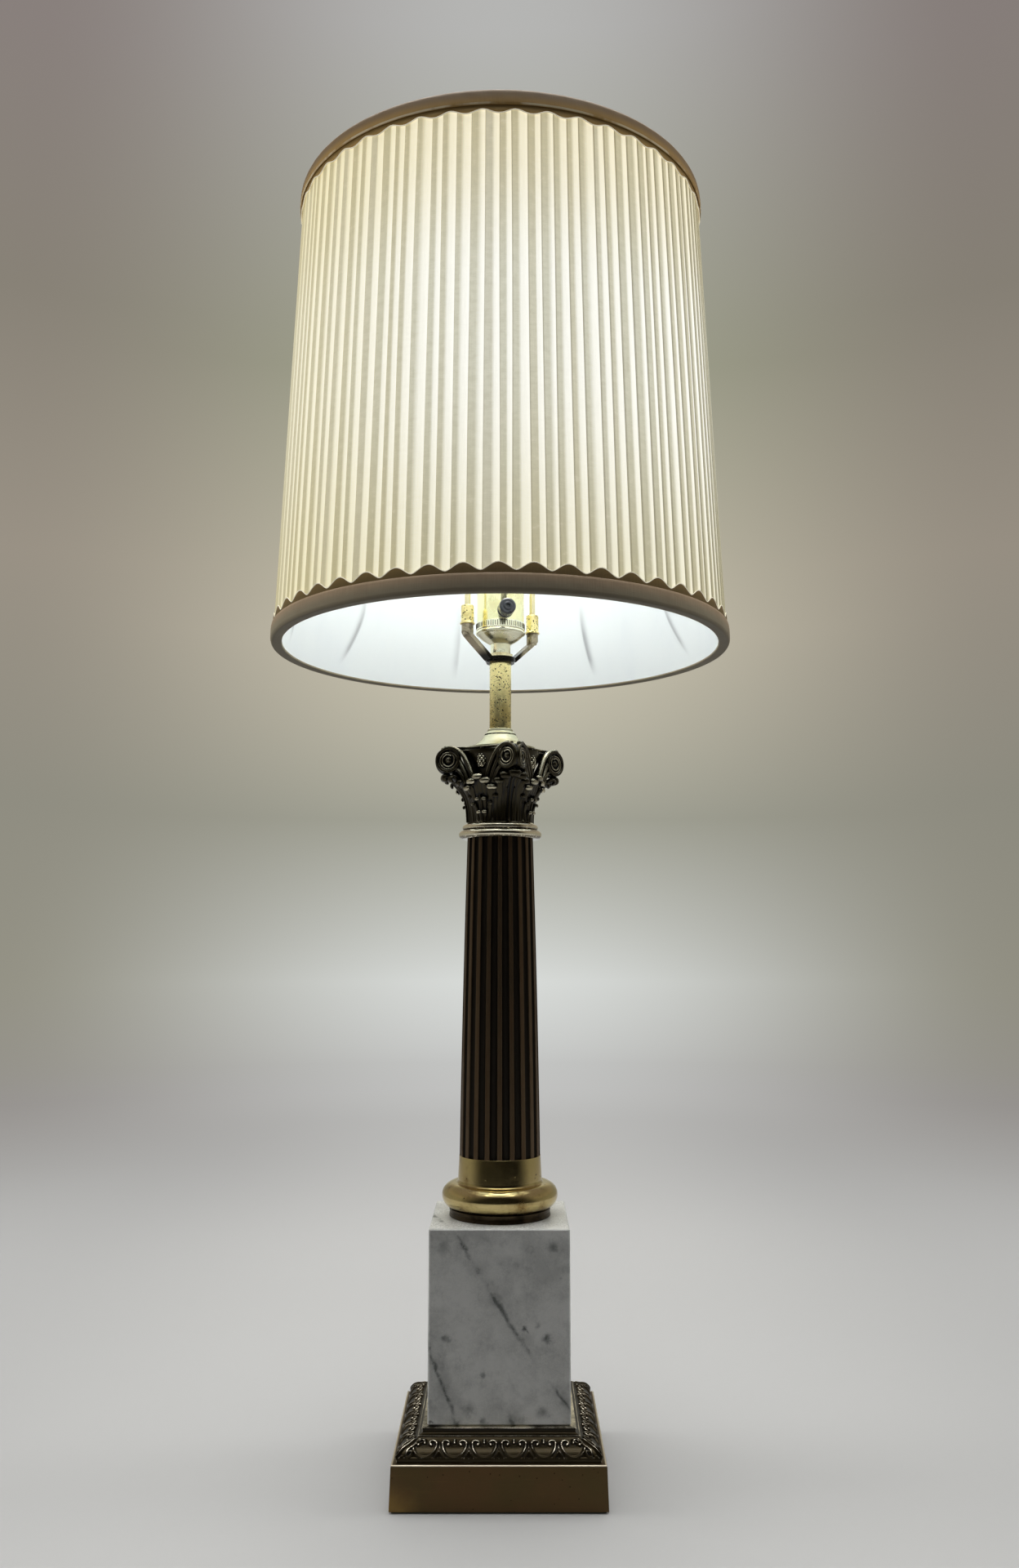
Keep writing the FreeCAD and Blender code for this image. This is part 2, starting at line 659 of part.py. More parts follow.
def scroll_wire(radius, ribbon):
    """The volute's ribbon in its own plane: a spiral of quarter circles, outside and inside."""
    quarters = 7
    shrink = 0.83
    thinning = 0.07
    centre = FreeCAD.Vector(0, 0, 0)
    size = radius
    outer = []
    inner = []
    for i in range(quarters):
        smaller = size * shrink
        angles = [90.0 - 90.0 * i - turn for turn in (0.0, 45.0, 90.0)]
        outer.append([centre + point(size, a, 0.0) for a in angles])
        width = ribbon * (1.0 - thinning * i)
        inner.append([centre + point(size - width, a, 0.0) for a in angles])
        centre = centre + point(size - smaller, angles[2], 0.0)
        size = smaller
    return outer, inner


def stalk(top_out, top_in):
    """The two edges of the stalk that carries a volute: from its top over and down to the bell.

    Its places are shares of the volute's radius, away from its first centre.
    """
    outside = [(-0.50, 0.94), (-0.96, 0.70), (-1.84, -0.40), (-2.36, -2.05)]
    inside = [(-0.46, 0.74), (-0.84, 0.46), (-1.54, -0.56), (-2.02, -2.05)]
    edges = []
    for top, places in ((top_out, outside), (top_in, inside)):
        points = [FreeCAD.Vector(x * SCROLL_RADIUS, y * SCROLL_RADIUS, 0) for x, y in places]
        edges.append(Part.Arc(top, points[0], points[1]).toShape())
        edges.append(Part.Arc(points[1], points[2], points[3]).toShape())
    ends = [edges[1].Vertexes[-1].Point, edges[3].Vertexes[-1].Point]
    return edges + [Part.makeLine(ends[0], ends[1])]


def scroll_plate():
    """One volute, flat, centred on its eye in the XY plane, with its stalk running down to -X."""
    outer, inner = scroll_wire(SCROLL_RADIUS, SCROLL_RIBBON)
    edges = [Part.Arc(*arc).toShape() for arc in outer]
    edges.append(Part.makeLine(outer[-1][2], inner[-1][2]))
    back = [Part.Arc(arc[2], arc[1], arc[0]).toShape() for arc in reversed(inner)]
    for i, edge in enumerate(back):
        if i and back[i - 1].Vertexes[-1].Point.distanceToPoint(edge.Vertexes[0].Point) > 1e-6:
            edges.append(Part.makeLine(back[i - 1].Vertexes[-1].Point, edge.Vertexes[0].Point))
        edges.append(edge)
    edges += stalk(outer[0][0], inner[0][0])
    ribbon = Part.Face(Part.Wire(Part.__sortEdges__(edges)))
    half = SCROLL_WIDTH / 2.0
    ribbon.translate(FreeCAD.Vector(0, 0, -half))
    ribbon = ribbon.extrude(FreeCAD.Vector(0, 0, SCROLL_WIDTH))
    web_low = FreeCAD.Vector(0, 0, -SCROLL_WEB / 2.0)
    web = Part.makeCylinder(SCROLL_RADIUS * 0.86, SCROLL_WEB, web_low)
    eye = Part.makeCylinder(SCROLL_EYE, SCROLL_WIDTH, FreeCAD.Vector(0, 0, -half))
    return ribbon.fuse([web, eye])


def corner_scrolls(angle):
    """The pair of volutes that meet at one corner of the abacus."""
    height = Z_COVER - SCROLL_BELOW_TOP - SCROLL_RADIUS
    pair = []
    for side in (1.0, -1.0):
        plate = scroll_plate()
        plate.rotate(ORIGIN, FreeCAD.Vector(1, 0, 0), 90)
        plate.rotate(ORIGIN, UP, angle - side * SCROLL_TURN)
        tip = point(SCROLL_REACH - SCROLL_WIDTH / 2.0, angle, height)
        inward = point(SCROLL_RADIUS - SCROLL_WIDTH / 4.0, angle - side * SCROLL_TURN, 0.0)
        plate.translate(tip - inward)
        pair.append(plate)
    return pair


def abacus():
    """The thin slab with hollow sides that closes the capital's top."""
    low = Z_COVER - ABACUS_THICKNESS
    edges = []
    for i in range(4):
        corner = CAPITAL_TURN + 90.0 * i
        after = corner + 90.0
        side = direction(corner + 90.0) * ABACUS_CORNER_HALF
        before_point = point(ABACUS_CORNER, corner, low) - side
        here = point(ABACUS_CORNER, corner, low) + side
        next_side = direction(after + 90.0) * ABACUS_CORNER_HALF
        there = point(ABACUS_CORNER, after, low) - next_side
        edges.append(Part.makeLine(before_point, here))
        edges.append(Part.Arc(here, point(ABACUS_WAIST, corner + 45.0, low), there).toShape())
    return Part.Face(Part.Wire(edges)).extrude(FreeCAD.Vector(0, 0, ABACUS_THICKNESS))


def flower(angle):
    """The bud that hangs at the middle of each side, below the abacus."""
    top = Z_COVER - FLOWER_BELOW_TOP
    low = top - FLOWER_HEIGHT
    belly = low + FLOWER_HEIGHT * 0.55
    neck = FLOWER_RADIUS * 0.35
    bud = Outline(0.0, low).line(neck, low)
    bud.arc(FLOWER_RADIUS * 0.85, low + FLOWER_HEIGHT * 0.25, FLOWER_RADIUS, belly)
    bud.arc(FLOWER_RADIUS * 0.8, top - FLOWER_HEIGHT * 0.12, neck, top)
    bud = bud.line(0.0, top).revolved()
    stem = Part.makeCylinder(neck, FLOWER_BELOW_TOP, FreeCAD.Vector(0, 0, top - LAYER_GAP))
    bud = bud.fuse(stem)
    bud.translate(point(ABACUS_WAIST - neck, angle, 0.0))
    return bud


def capital():
    parts = [abacus()]
    root = BELL_LOW_RADIUS + LEAF_THICKNESS / 2.0
    front = root + LEAF_THICKNESS * 0.8
    share = 2.0 * math.pi * root / 8.0
    for i in range(4):
        corner = CAPITAL_TURN + 90.0 * i
        side = corner + 45.0
        high = leaf(STANDING_LEAF, root, HIGH_LEAF_TIP, HIGH_LEAF_RISE, share * 1.16, side)
        low = leaf(STANDING_LEAF, front, LOW_LEAF_TIP, LOW_LEAF_RISE, share * 0.84, side)
        middle = leaf(
            STANDING_LEAF, front, MIDDLE_LEAF_TIP, MIDDLE_LEAF_RISE, share * 0.94, corner
        )
        under_scroll = leaf(
            CORNER_LEAF,
            root,
            CORNER_LEAF_TIP,
            CORNER_LEAF_RISE,
            share * 0.66,
            corner,
            CORNER_LEAF_THICKNESS,
        )
        parts += [high, low, middle, under_scroll]
        parts += corner_scrolls(corner)
        parts.append(flower(side))
    return capital_bell().fuse(parts).cut(pipe_hole(Z_CAPITAL, Z_COVER))


# ---------------------------------------------------------------- above the capital
def capital_cover():
    bore = PIPE_RADIUS + BORE_CLEARANCE
    outline = Outline(bore, Z_COVER).line(COVER_LOW_RADIUS, Z_COVER)
    outline.line(COVER_LOW_RADIUS, Z_COVER + 0.8)
    outline.arc(
        COVER_LOW_RADIUS * 0.67,
        Z_COVER + COVER_HEIGHT * 0.4,
        COVER_HIGH_RADIUS,
        Z_SEAT,
    )
    outline.line(bore, Z_SEAT)
    return outline.revolved()


def seat_ring():
    bore = PIPE_RADIUS + BORE_CLEARANCE
    outline = Outline(bore, Z_SEAT).line(SEAT_LOW_RADIUS, Z_SEAT)
    outline.arc(SEAT_LOW_RADIUS - 0.4, Z_SEAT + 1.6, SEAT_HIGH_RADIUS + 0.2, Z_SEAT + SEAT_HEIGHT * 0.45)
    outline.line(SEAT_HIGH_RADIUS, Z_RISER - 0.6).line(SEAT_HIGH_RADIUS - 0.6, Z_RISER)
    outline.line(bore, Z_RISER)
    return outline.revolved()


def riser_tube():
    return tube(RISER_RADIUS, RISER_RADIUS - RISER_WALL, Z_RISER, Z_WASHER)


def saddle_washer():
    return tube(SADDLE_WASHER_RADIUS, PIPE_RADIUS + BORE_CLEARANCE, Z_WASHER, Z_SADDLE)


def harp_saddle():
    """A strap bent up on both sides, each end rolled into a round post for the harp."""
    hub = tube(SADDLE_HUB_RADIUS, PIPE_RADIUS + BORE_CLEARANCE, Z_SADDLE, Z_SADDLE_NUT)
    slope = math.radians(SADDLE_SLOPE)
    foot = SADDLE_HUB_RADIUS
    thick = SADDLE_STRAP / math.cos(slope)
    outside = HARP_FOOT + POST_SHOULDER + LAYER_GAP

    def under(radius):
        return Z_SADDLE + (radius - foot) * math.tan(slope)

    bend = HARP_FOOT - POST_SHOULDER / 2.0
    elbow = under(outside) + LAYER_GAP
    room = Outline(0.0, Z_SADDLE).line(foot, Z_SADDLE).line(bend, under(bend))
    room.arc(outside - POST_SHOULDER * 0.5, under(outside) - 1.6, outside, elbow)
    room.line(outside, Z_HARP).line(0.0, Z_HARP)
    band = Outline(foot, Z_SADDLE).line(HARP_FOOT, under(HARP_FOOT))
    band.line(HARP_FOOT, under(HARP_FOOT) + thick).line(PIPE_RADIUS * 2.0, under(PIPE_RADIUS * 2.0) + thick)
    band.line(PIPE_RADIUS * 2.0, Z_SADDLE)
    pieces = []
    for side in (0.0, 180.0):
        strap = band.face().extrude(FreeCAD.Vector(0, SADDLE_WIDTH, 0))
        strap.translate(FreeCAD.Vector(0, -SADDLE_WIDTH / 2.0, 0))
        space = room.face().extrude(FreeCAD.Vector(0, 2.0 * SADDLE_WIDTH, 0))
        space.translate(FreeCAD.Vector(0, -SADDLE_WIDTH, 0))
        low = FreeCAD.Vector(HARP_FOOT, 0, Z_SADDLE)
        shoulder = Part.makeCylinder(POST_SHOULDER, Z_POST + SHOULDER_HEIGHT - Z_SADDLE, low)
        post = Part.makeCylinder(POST_RADIUS, Z_HARP - Z_POST, FreeCAD.Vector(HARP_FOOT, 0, Z_POST))
        arm = shoulder.fuse(strap).common(space).fuse(post)
        arm.rotate(ORIGIN, UP, SADDLE_TURN + side)
        pieces.append(arm)
    return hub.fuse(pieces).cut(pipe_hole(Z_WASHER, Z_BEAD))


def saddle_nut():
    bore = PIPE_RADIUS + THREAD_CLEARANCE
    return hexagon_nut(SADDLE_NUT_FLATS, SADDLE_NUT_HEIGHT, Z_SADDLE_NUT, bore)


# ---------------------------------------------------------------- socket
def socket_cap():
    bore = PIPE_RADIUS + THREAD_CLEARANCE
    inside = SHELL_RADIUS + SLIP_CLEARANCE
    rim = inside + CAP_WALL * 0.6
    bowl = CAP_BEAD_RADIUS - 1.6
    middle = (CAP_NECK_RADIUS + bowl) / 2.0
    outline = Outline(bore, Z_CAP).line(CAP_NECK_RADIUS, Z_CAP).line(CAP_NECK_RADIUS, Z_BOWL)
    outline.arc(middle - 0.6, Z_BOWL + CAP_BOWL_HEIGHT * 0.3, bowl, Z_BEAD - 1.2)
    outline.arc(CAP_BEAD_RADIUS, Z_BEAD + 0.4, bowl + 0.9, Z_BEAD + 2.2)
    outline.line(rim, Z_BEAD + 2.6).line(rim, Z_RIM).line(inside, Z_RIM).line(inside, Z_SHELL)
    outline.line(bowl - CAP_WALL, Z_SHELL - CAP_WALL)
    outline.arc(middle - 1.0, Z_CAP_FLOOR + CAP_BOWL_HEIGHT * 0.36, CAP_NECK_RADIUS + 0.4, Z_CAP_FLOOR)
    outline.line(bore, Z_CAP_FLOOR)
    body = outline.revolved()
    return body.cut(set_screw_at(SET_SCREW_RADIUS + THREAD_CLEARANCE))


def set_screw_at(radius):
    """A cylinder through the cap's neck, where its set screw sits."""
    behind = KNOB_TURN + 180.0
    start = point(PIPE_RADIUS + THREAD_CLEARANCE, behind, Z_CAP + CAP_NECK_HEIGHT / 2.0)
    return Part.makeCylinder(radius, SET_SCREW_LENGTH, start, direction(behind))


def cap_set_screw():
    return set_screw_at(SET_SCREW_RADIUS)


def knob_bore(radius, reach):
    """A cylinder along the switch stem, from the axis outwards."""
    return Part.makeCylinder(radius, reach, point(0.0, 0.0, Z_KNOB), direction(KNOB_TURN))


def socket_shell():
    body = tube(SHELL_RADIUS, SHELL_RADIUS - SHELL_WALL, Z_SHELL, Z_SHELL_TOP)
    return body.cut(knob_bore(KNOB_STEM_RADIUS + LAYER_GAP, SHELL_RADIUS + KNOB_GAP))


def socket_liner():
    outer = SHELL_RADIUS - SHELL_WALL - SLIP_CLEARANCE
    body = tube(outer, outer - LINER_WALL, Z_SHELL, Z_SHELL_TOP - 1.0)
    return body.cut(knob_bore(KNOB_STEM_RADIUS + LAYER_GAP, SHELL_RADIUS + KNOB_GAP))


def terminal_angles():
    return (KNOB_TURN + 90.0, KNOB_TURN - 90.0)


def socket_body():
    """The moulded switch body: a drum with two flats for the terminals, on a narrow boss."""
    drum_low = FreeCAD.Vector(0, 0, Z_BODY)
    drum = Part.makeCylinder(BODY_RADIUS, BODY_HEIGHT, drum_low)
    boss_low = FreeCAD.Vector(0, 0, Z_CAP_FLOOR)
    boss = Part.makeCylinder(BODY_BOSS_RADIUS, Z_BODY - Z_CAP_FLOOR, boss_low)
    cuts = [knob_bore(KNOB_STEM_RADIUS + RUNNING_CLEARANCE, SHELL_RADIUS)]
    cuts.append(pipe_hole(Z_CAP_FLOOR, Z_BODY - BODY_FLOOR, PIPE_BORE))
    for angle in terminal_angles():
        corner = FreeCAD.Vector(TERMINAL_FLAT, -TERMINAL_POCKET, Z_KNOB - TERMINAL_POCKET)
        side = 2.0 * TERMINAL_POCKET
        flat = Part.makeBox(side, side, side, corner)
        flat.rotate(ORIGIN, UP, angle)
        start = point(TERMINAL_FLAT - TERMINAL_SHANK_LENGTH, angle, Z_KNOB)
        shank = TERMINAL_SHANK_RADIUS + THREAD_CLEARANCE
        hole = Part.makeCylinder(shank, TERMINAL_SHANK_LENGTH + 1.0, start, direction(angle))
        cuts += [flat, hole]
    return drum.fuse(boss).cut(cuts)


def terminal_screws():
    screws = []
    for angle in terminal_angles():
        start = point(TERMINAL_FLAT - TERMINAL_SHANK_LENGTH, angle, Z_KNOB)
        shank = Part.makeCylinder(TERMINAL_SHANK_RADIUS, TERMINAL_SHANK_LENGTH, start, direction(angle))
        face = point(TERMINAL_FLAT, angle, Z_KNOB)
        head = Part.makeCylinder(TERMINAL_HEAD_RADIUS, TERMINAL_HEAD_HEIGHT, face, direction(angle))
        screws.append(shank.fuse(head).removeSplitter())
    return Part.makeCompound(screws)


def screw_shell():
    outer = SCREW_SHELL_RADIUS
    return tube(outer, outer - SCREW_SHELL_WALL, Z_BODY_TOP, Z_BODY_TOP + SCREW_SHELL_HEIGHT)


def centre_contact():
    low = FreeCAD.Vector(0, 0, Z_BODY_TOP)
    return Part.makeCylinder(CONTACT_RADIUS, CONTACT_THICKNESS, low)


def knob_stem():
    start = point(KNOB_STEM_IN, KNOB_TURN, Z_KNOB)
    length = SHELL_RADIUS + KNOB_GAP + KNOB_HOLE_DEPTH - KNOB_STEM_IN
    return Part.makeCylinder(KNOB_STEM_RADIUS, length, start, direction(KNOB_TURN))


def switch_knob():
    """A turned knob with a raised ring and a hole in its end, on the stem's axis."""
    start = SHELL_RADIUS + KNOB_GAP
    end = start + KNOB_LENGTH
    groove = KNOB_RADIUS * 0.84
    outline = Outline(0.0, start).line(KNOB_RADIUS * 0.8, start).line(KNOB_RADIUS, start + 1.6)
    outline.line(KNOB_RADIUS, start + 4.0).line(groove, start + 4.8).line(groove, start + 5.8)
    outline.line(KNOB_RADIUS, start + 6.6).line(KNOB_RADIUS, end - 1.6).line(KNOB_RADIUS * 0.8, end - 0.6)
    outline.line(KNOB_RADIUS * 0.5, end - 1.0).line(KNOB_HOLE_RADIUS * 1.6, end)
    outline.line(KNOB_HOLE_RADIUS, end).line(KNOB_HOLE_RADIUS, end - KNOB_HOLE_DEPTH)
    outline.line(0.0, end - KNOB_HOLE_DEPTH)
    knob = outline.revolved()
    socket = Part.makeCylinder(KNOB_STEM_RADIUS + THREAD_CLEARANCE, KNOB_HOLE_DEPTH, UP * start)
    knob = knob.cut(socket)
    knob.rotate(ORIGIN, FreeCAD.Vector(0, 1, 0), 90)
    knob.rotate(ORIGIN, UP, KNOB_TURN)
    knob.translate(UP * Z_KNOB)
    return knob


# ---------------------------------------------------------------- bulb
def bulb_tip():
    return Part.makeCylinder(BULB_TIP_RADIUS, BULB_TIP_HEIGHT, UP * Z_BULB)


def bulb_insulator():
    low = Z_BULB + BULB_TIP_HEIGHT
    return Part.makeCone(BULB_TIP_RADIUS, BULB_BASE_RADIUS - 1.4, BULB_INSULATOR_HEIGHT, UP * low)


def bulb_base():
    return Part.makeCylinder(BULB_BASE_RADIUS, BULB_BASE_HEIGHT, UP * Z_BULB_BASE)


def bulb_glass():
    shoulder = BULB_RADIUS * 0.73
    centre = Z_GLASS + BULB_NECK_HEIGHT + math.sqrt(BULB_RADIUS**2 - shoulder**2)
    outline = Outline(0.0, Z_GLASS).line(BULB_NECK_RADIUS, Z_GLASS)
    outline.arc(
        BULB_NECK_RADIUS * 1.16, Z_GLASS + BULB_NECK_HEIGHT * 0.58, shoulder, Z_GLASS + BULB_NECK_HEIGHT
    )
    outline.arc(BULB_RADIUS, centre, 0.0, centre + BULB_RADIUS)
    return outline.revolved()


# ---------------------------------------------------------------- harp
def harp_side_path():
    """One side of the harp in its own plane: leg, flare, elbow, upright and crown."""
    splay = math.radians(HARP_SPLAY)
    crown = math.radians(HARP_CROWN_TURN)
    leg_top = Z_HARP + HARP_LEG
    flare_low = leg_top + HARP_FOOT_BEND * math.sin(splay)
    flare_out = HARP_FOOT + HARP_FOOT_BEND * (1.0 - math.cos(splay))
    elbow_out = HARP_HALF_WIDTH - HARP_ELBOW_BEND * (1.0 - math.cos(splay))
    flare_high = flare_low + (elbow_out - flare_out) / math.tan(splay)
    elbow_top = flare_high + HARP_ELBOW_BEND * math.sin(splay)
    crown_centre = HARP_HALF_WIDTH - HARP_CROWN_BEND
    crown_low = Z_HARP_SEAT + HARP_SEAT_THICKNESS / 2.0 - HARP_CROWN_BEND * math.sin(crown)

    def at(out, height):
        return FreeCAD.Vector(out, 0, height)

    def on_arc(centre, height, radius, turn):
        return at(centre + radius * math.cos(turn), height + radius * math.sin(turn))

    foot_centre = HARP_FOOT + HARP_FOOT_BEND
    elbow_centre = HARP_HALF_WIDTH - HARP_ELBOW_BEND
    start = at(HARP_FOOT, Z_HARP)
    foot_bend = [on_arc(foot_centre, leg_top, HARP_FOOT_BEND, math.pi - splay * t) for t in (0, 0.5, 1)]
    elbow = [on_arc(elbow_centre, elbow_top, HARP_ELBOW_BEND, splay * (t - 1)) for t in (0, 0.5, 1)]
    crown_arc = [on_arc(crown_centre, crown_low, HARP_CROWN_BEND, crown * t) for t in (0, 0.5, 1)]
    return start, [
        Part.makeLine(start, foot_bend[0]),
        Part.Arc(*foot_bend).toShape(),
        Part.makeLine(foot_bend[2], elbow[0]),
        Part.Arc(*elbow).toShape(),
        Part.makeLine(elbow[2], crown_arc[0]),
        Part.Arc(*crown_arc).toShape(),
    ]


def harp_wire():
    """The bent wire, with a collar on each lower end and the drilled seat at the top."""
    start, edges = harp_side_path()
    path = Part.Wire(edges)
    section = Part.Wire(Part.makeCircle(HARP_WIRE, start, UP))
    leg = path.makePipeShell([section], True, True)
    collar = Part.makeCylinder(HARP_END_COLLAR, HARP_END_LENGTH, start)
    half = leg.fuse(collar)
    other = half.copy()
    other.rotate(ORIGIN, UP, 180)
    seat = Part.makeCylinder(HARP_SEAT_RADIUS, HARP_SEAT_THICKNESS, UP * Z_HARP_SEAT)
    hole = pipe_hole(Z_HARP_SEAT, Z_HARP_SEAT_TOP, STUD_RADIUS + RUNNING_CLEARANCE)
    room = 2.0 * HARP_SEAT_THICKNESS
    head_room = Part.makeCylinder(STUD_HEAD_RADIUS + LAYER_GAP, room, UP * (Z_HARP_SEAT - room))
    flange_room = Part.makeCylinder(1.5 * HARP_SEAT_RADIUS, room, UP * Z_HARP_SEAT_TOP)
    whole = half.fuse([other, seat]).cut([hole, head_room, flange_room])
    whole.rotate(ORIGIN, UP, SADDLE_TURN)
    return whole


def harp_sleeve(angle):
    foot = point(HARP_FOOT, angle, Z_SLEEVE)
    body = Part.makeCylinder(SLEEVE_RADIUS, SLEEVE_HEIGHT, foot)
    skirt = Part.makeCylinder(SLEEVE_SKIRT_RADIUS, SLEEVE_SKIRT_HEIGHT, foot)
    bore_radius = POST_RADIUS + RUNNING_CLEARANCE
    bore = Part.makeCylinder(bore_radius, SLEEVE_HEIGHT - SLEEVE_LIP, foot)
    wire = Part.makeCylinder(HARP_WIRE + RUNNING_CLEARANCE, SLEEVE_HEIGHT, foot)
    return body.fuse(skirt).cut([bore, wire])


def harp_stud():
    """The stud riveted through the harp's seat, which the shade sits on and the finial clamps."""
    head_low = Z_HARP_SEAT - TURN_GAP - STUD_HEAD_THICKNESS
    outline = Outline(0.0, head_low).line(STUD_HEAD_RADIUS * 0.7, head_low)
    outline.line(STUD_HEAD_RADIUS, head_low + 0.8).line(STUD_HEAD_RADIUS, Z_HARP_SEAT - TURN_GAP)
    outline.line(STUD_RADIUS, Z_HARP_SEAT - TURN_GAP).line(STUD_RADIUS, Z_STUD_FLANGE)
    outline.line(STUD_FLANGE_RADIUS, Z_STUD_FLANGE).line(STUD_FLANGE_RADIUS, Z_HUB)
    outline.line(STUD_RADIUS, Z_HUB).line(STUD_RADIUS, Z_HUB + STUD_THREAD_LENGTH)
    outline.line(0.0, Z_HUB + STUD_THREAD_LENGTH)
    return outline.revolved()


# ---------------------------------------------------------------- shade
def frame_ring(height):
    """A round hoop of the shade's frame, its section a hexagon."""
    centre = shade_radius(height, FRAME_DEPTH)
    section = []
    for i in range(6):
        turn = math.radians(30.0 + 60.0 * i)
        radius = centre + SHADE_FRAME_WIRE * math.cos(turn)
        section.append((radius, height + SHADE_FRAME_WIRE * math.sin(turn)))
    return faceted_ring(section, FRAME_SIDES)


def ring_height_top():
    return Z_SHADE_TOP - FRAME_INSET


def ring_height_low():
    return Z_SHADE + FRAME_INSET


def spider_arms(radius):
    """The arms from the hub up to the top hoop, or with a larger radius the room they need."""
    height = ring_height_top()
    reach = shade_radius(height, FRAME_DEPTH)
    middle = Z_HUB + SPIDER_HUB_THICKNESS / 2.0
    arms = []
    for i in range(SPIDER_ARMS):
        angle = SPIDER_TURN + 360.0 * i / SPIDER_ARMS
        start = point(SPIDER_HUB_RADIUS - SPIDER_WIRE, angle, middle)
        along = point(reach, angle, height) - start
        arms.append(Part.makeCylinder(radius, along.Length, start, along))
    return arms


def shade_spider():
    """The top hoop with the three arms that drop to the drilled hub."""
    hub = tube(SPIDER_HUB_RADIUS, STUD_RADIUS + SLIP_CLEARANCE, Z_HUB, Z_HUB_TOP)
    pieces = [frame_ring(ring_height_top())] + spider_arms(SPIDER_WIRE)
    beyond = Z_SHADE_TOP + SPIDER_HUB_RADIUS
    trim = shade_tube(FRAME_DEPTH - SHADE_FRAME_WIRE, -SPIDER_HUB_RADIUS, Z_SHADE, beyond, FRAME_SIDES)
    return hub.fuse(pieces).cut(trim)


def shade_tube(depth, back_depth, low, high, sides):
    """A many-sided conical tube between two depths below the shade's outer face."""
    outer_low = ring_points(shade_radius(low, min(depth, back_depth)), low, sides)
    outer_high = ring_points(shade_radius(high, min(depth, back_depth)), high, sides)
    inner_low = ring_points(shade_radius(low, max(depth, back_depth)), low, sides)
    inner_high = ring_points(shade_radius(high, max(depth, back_depth)), high, sides)
    faces = wall(outer_low, outer_high) + wall(inner_low, inner_high)
    faces += [flat_ring(outer_low, inner_low), flat_ring(outer_high, inner_high)]
    return solid_of(faces)


def shade_bottom_ring():
    return frame_ring(ring_height_low())


def shade_ribs():
    """The upright wires between the hoops, each ending just clear of both."""
    low, high = ring_height_low(), ring_height_top()
    foot = (shade_radius(low, FRAME_DEPTH), low)
    head = (shade_radius(high, FRAME_DEPTH), high)
    length = math.hypot(head[0] - foot[0], head[1] - foot[1])
    back_off = (SHADE_FRAME_WIRE + LAYER_GAP) / length
    ribs = []
    for i in range(RIBS):
        angle = RIB_TURN + 360.0 * i / RIBS
        start = point(foot[0] + (head[0] - foot[0]) * back_off, angle, low + (high - low) * back_off)
        end = point(head[0] - (head[0] - foot[0]) * back_off, angle, high - (high - low) * back_off)
        section = []
        across = direction(angle + 90.0)
        outward = direction(angle)
        for k in range(7):
            turn = math.radians(60.0 * k)
            section.append(start + across * (RIB_WIRE * math.cos(turn)) + outward * (RIB_WIRE * math.sin(turn)))
        ribs.append(Part.Face(Part.makePolygon(section)).extrude(end - start))
    return Part.makeCompound(ribs)


def shade_liner():
    low, high = Z_SHADE + BAND_CLOTH + LAYER_GAP, Z_SHADE_TOP - BAND_CLOTH - LAYER_GAP
    tube_of_cloth = shade_tube(LINER_DEPTH, LINER_DEPTH + LINER_CLOTH, low, high, FRAME_SIDES)
    return tube_of_cloth.cut(spider_arms(SPIDER_WIRE + LAYER_GAP))


def pleat_ring(height):
    """The pleated cloth's outline at one height: each pleat falls away from its fold."""
    fold = shade_radius(height, COVER_DEPTH)
    depth = PLEAT_DEPTH * fold / shade_radius(Z_SHADE, COVER_DEPTH)
    points = []
    for i in range(PLEATS):
        start = -90.0 + 360.0 * i / PLEATS
        end = start + 360.0 / PLEATS * (1.0 - PLEAT_STEP_SHARE)
        points += [point(fold, start, height), point(fold - depth, end, height)]
    return points


def shade_cover():
    low, high = Z_SHADE + BAND_CLOTH + LAYER_GAP, Z_SHADE_TOP - BAND_CLOTH - LAYER_GAP
    folds_low, folds_high = pleat_ring(low), pleat_ring(high)
    back_low = ring_points(shade_radius(low, COVER_BACK_DEPTH), low, FRAME_SIDES)
    back_high = ring_points(shade_radius(high, COVER_BACK_DEPTH), high, FRAME_SIDES)
    faces = wall(folds_low, folds_high) + wall(back_low, back_high)
    faces += [flat_ring(folds_low, back_low), flat_ring(folds_high, back_high)]
    return solid_of(faces)


def rim_band(rim, inward, height):
    """A cloth band folded over one rim of the shade. inward is +1 at the bottom, -1 at the top."""

    def at(depth, rise):
        level = rim + inward * rise
        return shade_radius(level, depth), level

    lip = LIP_DEPTH + BAND_CLOTH * 0.6
    section = [
        at(0.0, height * 0.9),
        at(0.0, BAND_CLOTH),
        at(BAND_CLOTH, 0.0),
        at(lip, 0.0),
        at(lip, BAND_LIP),
        at(LIP_DEPTH, BAND_LIP),
        at(LIP_DEPTH, BAND_CLOTH),
        at(BAND_CLOTH, BAND_CLOTH),
        at(BAND_CLOTH, height),
    ]
    return faceted_ring(section, BAND_SIDES)


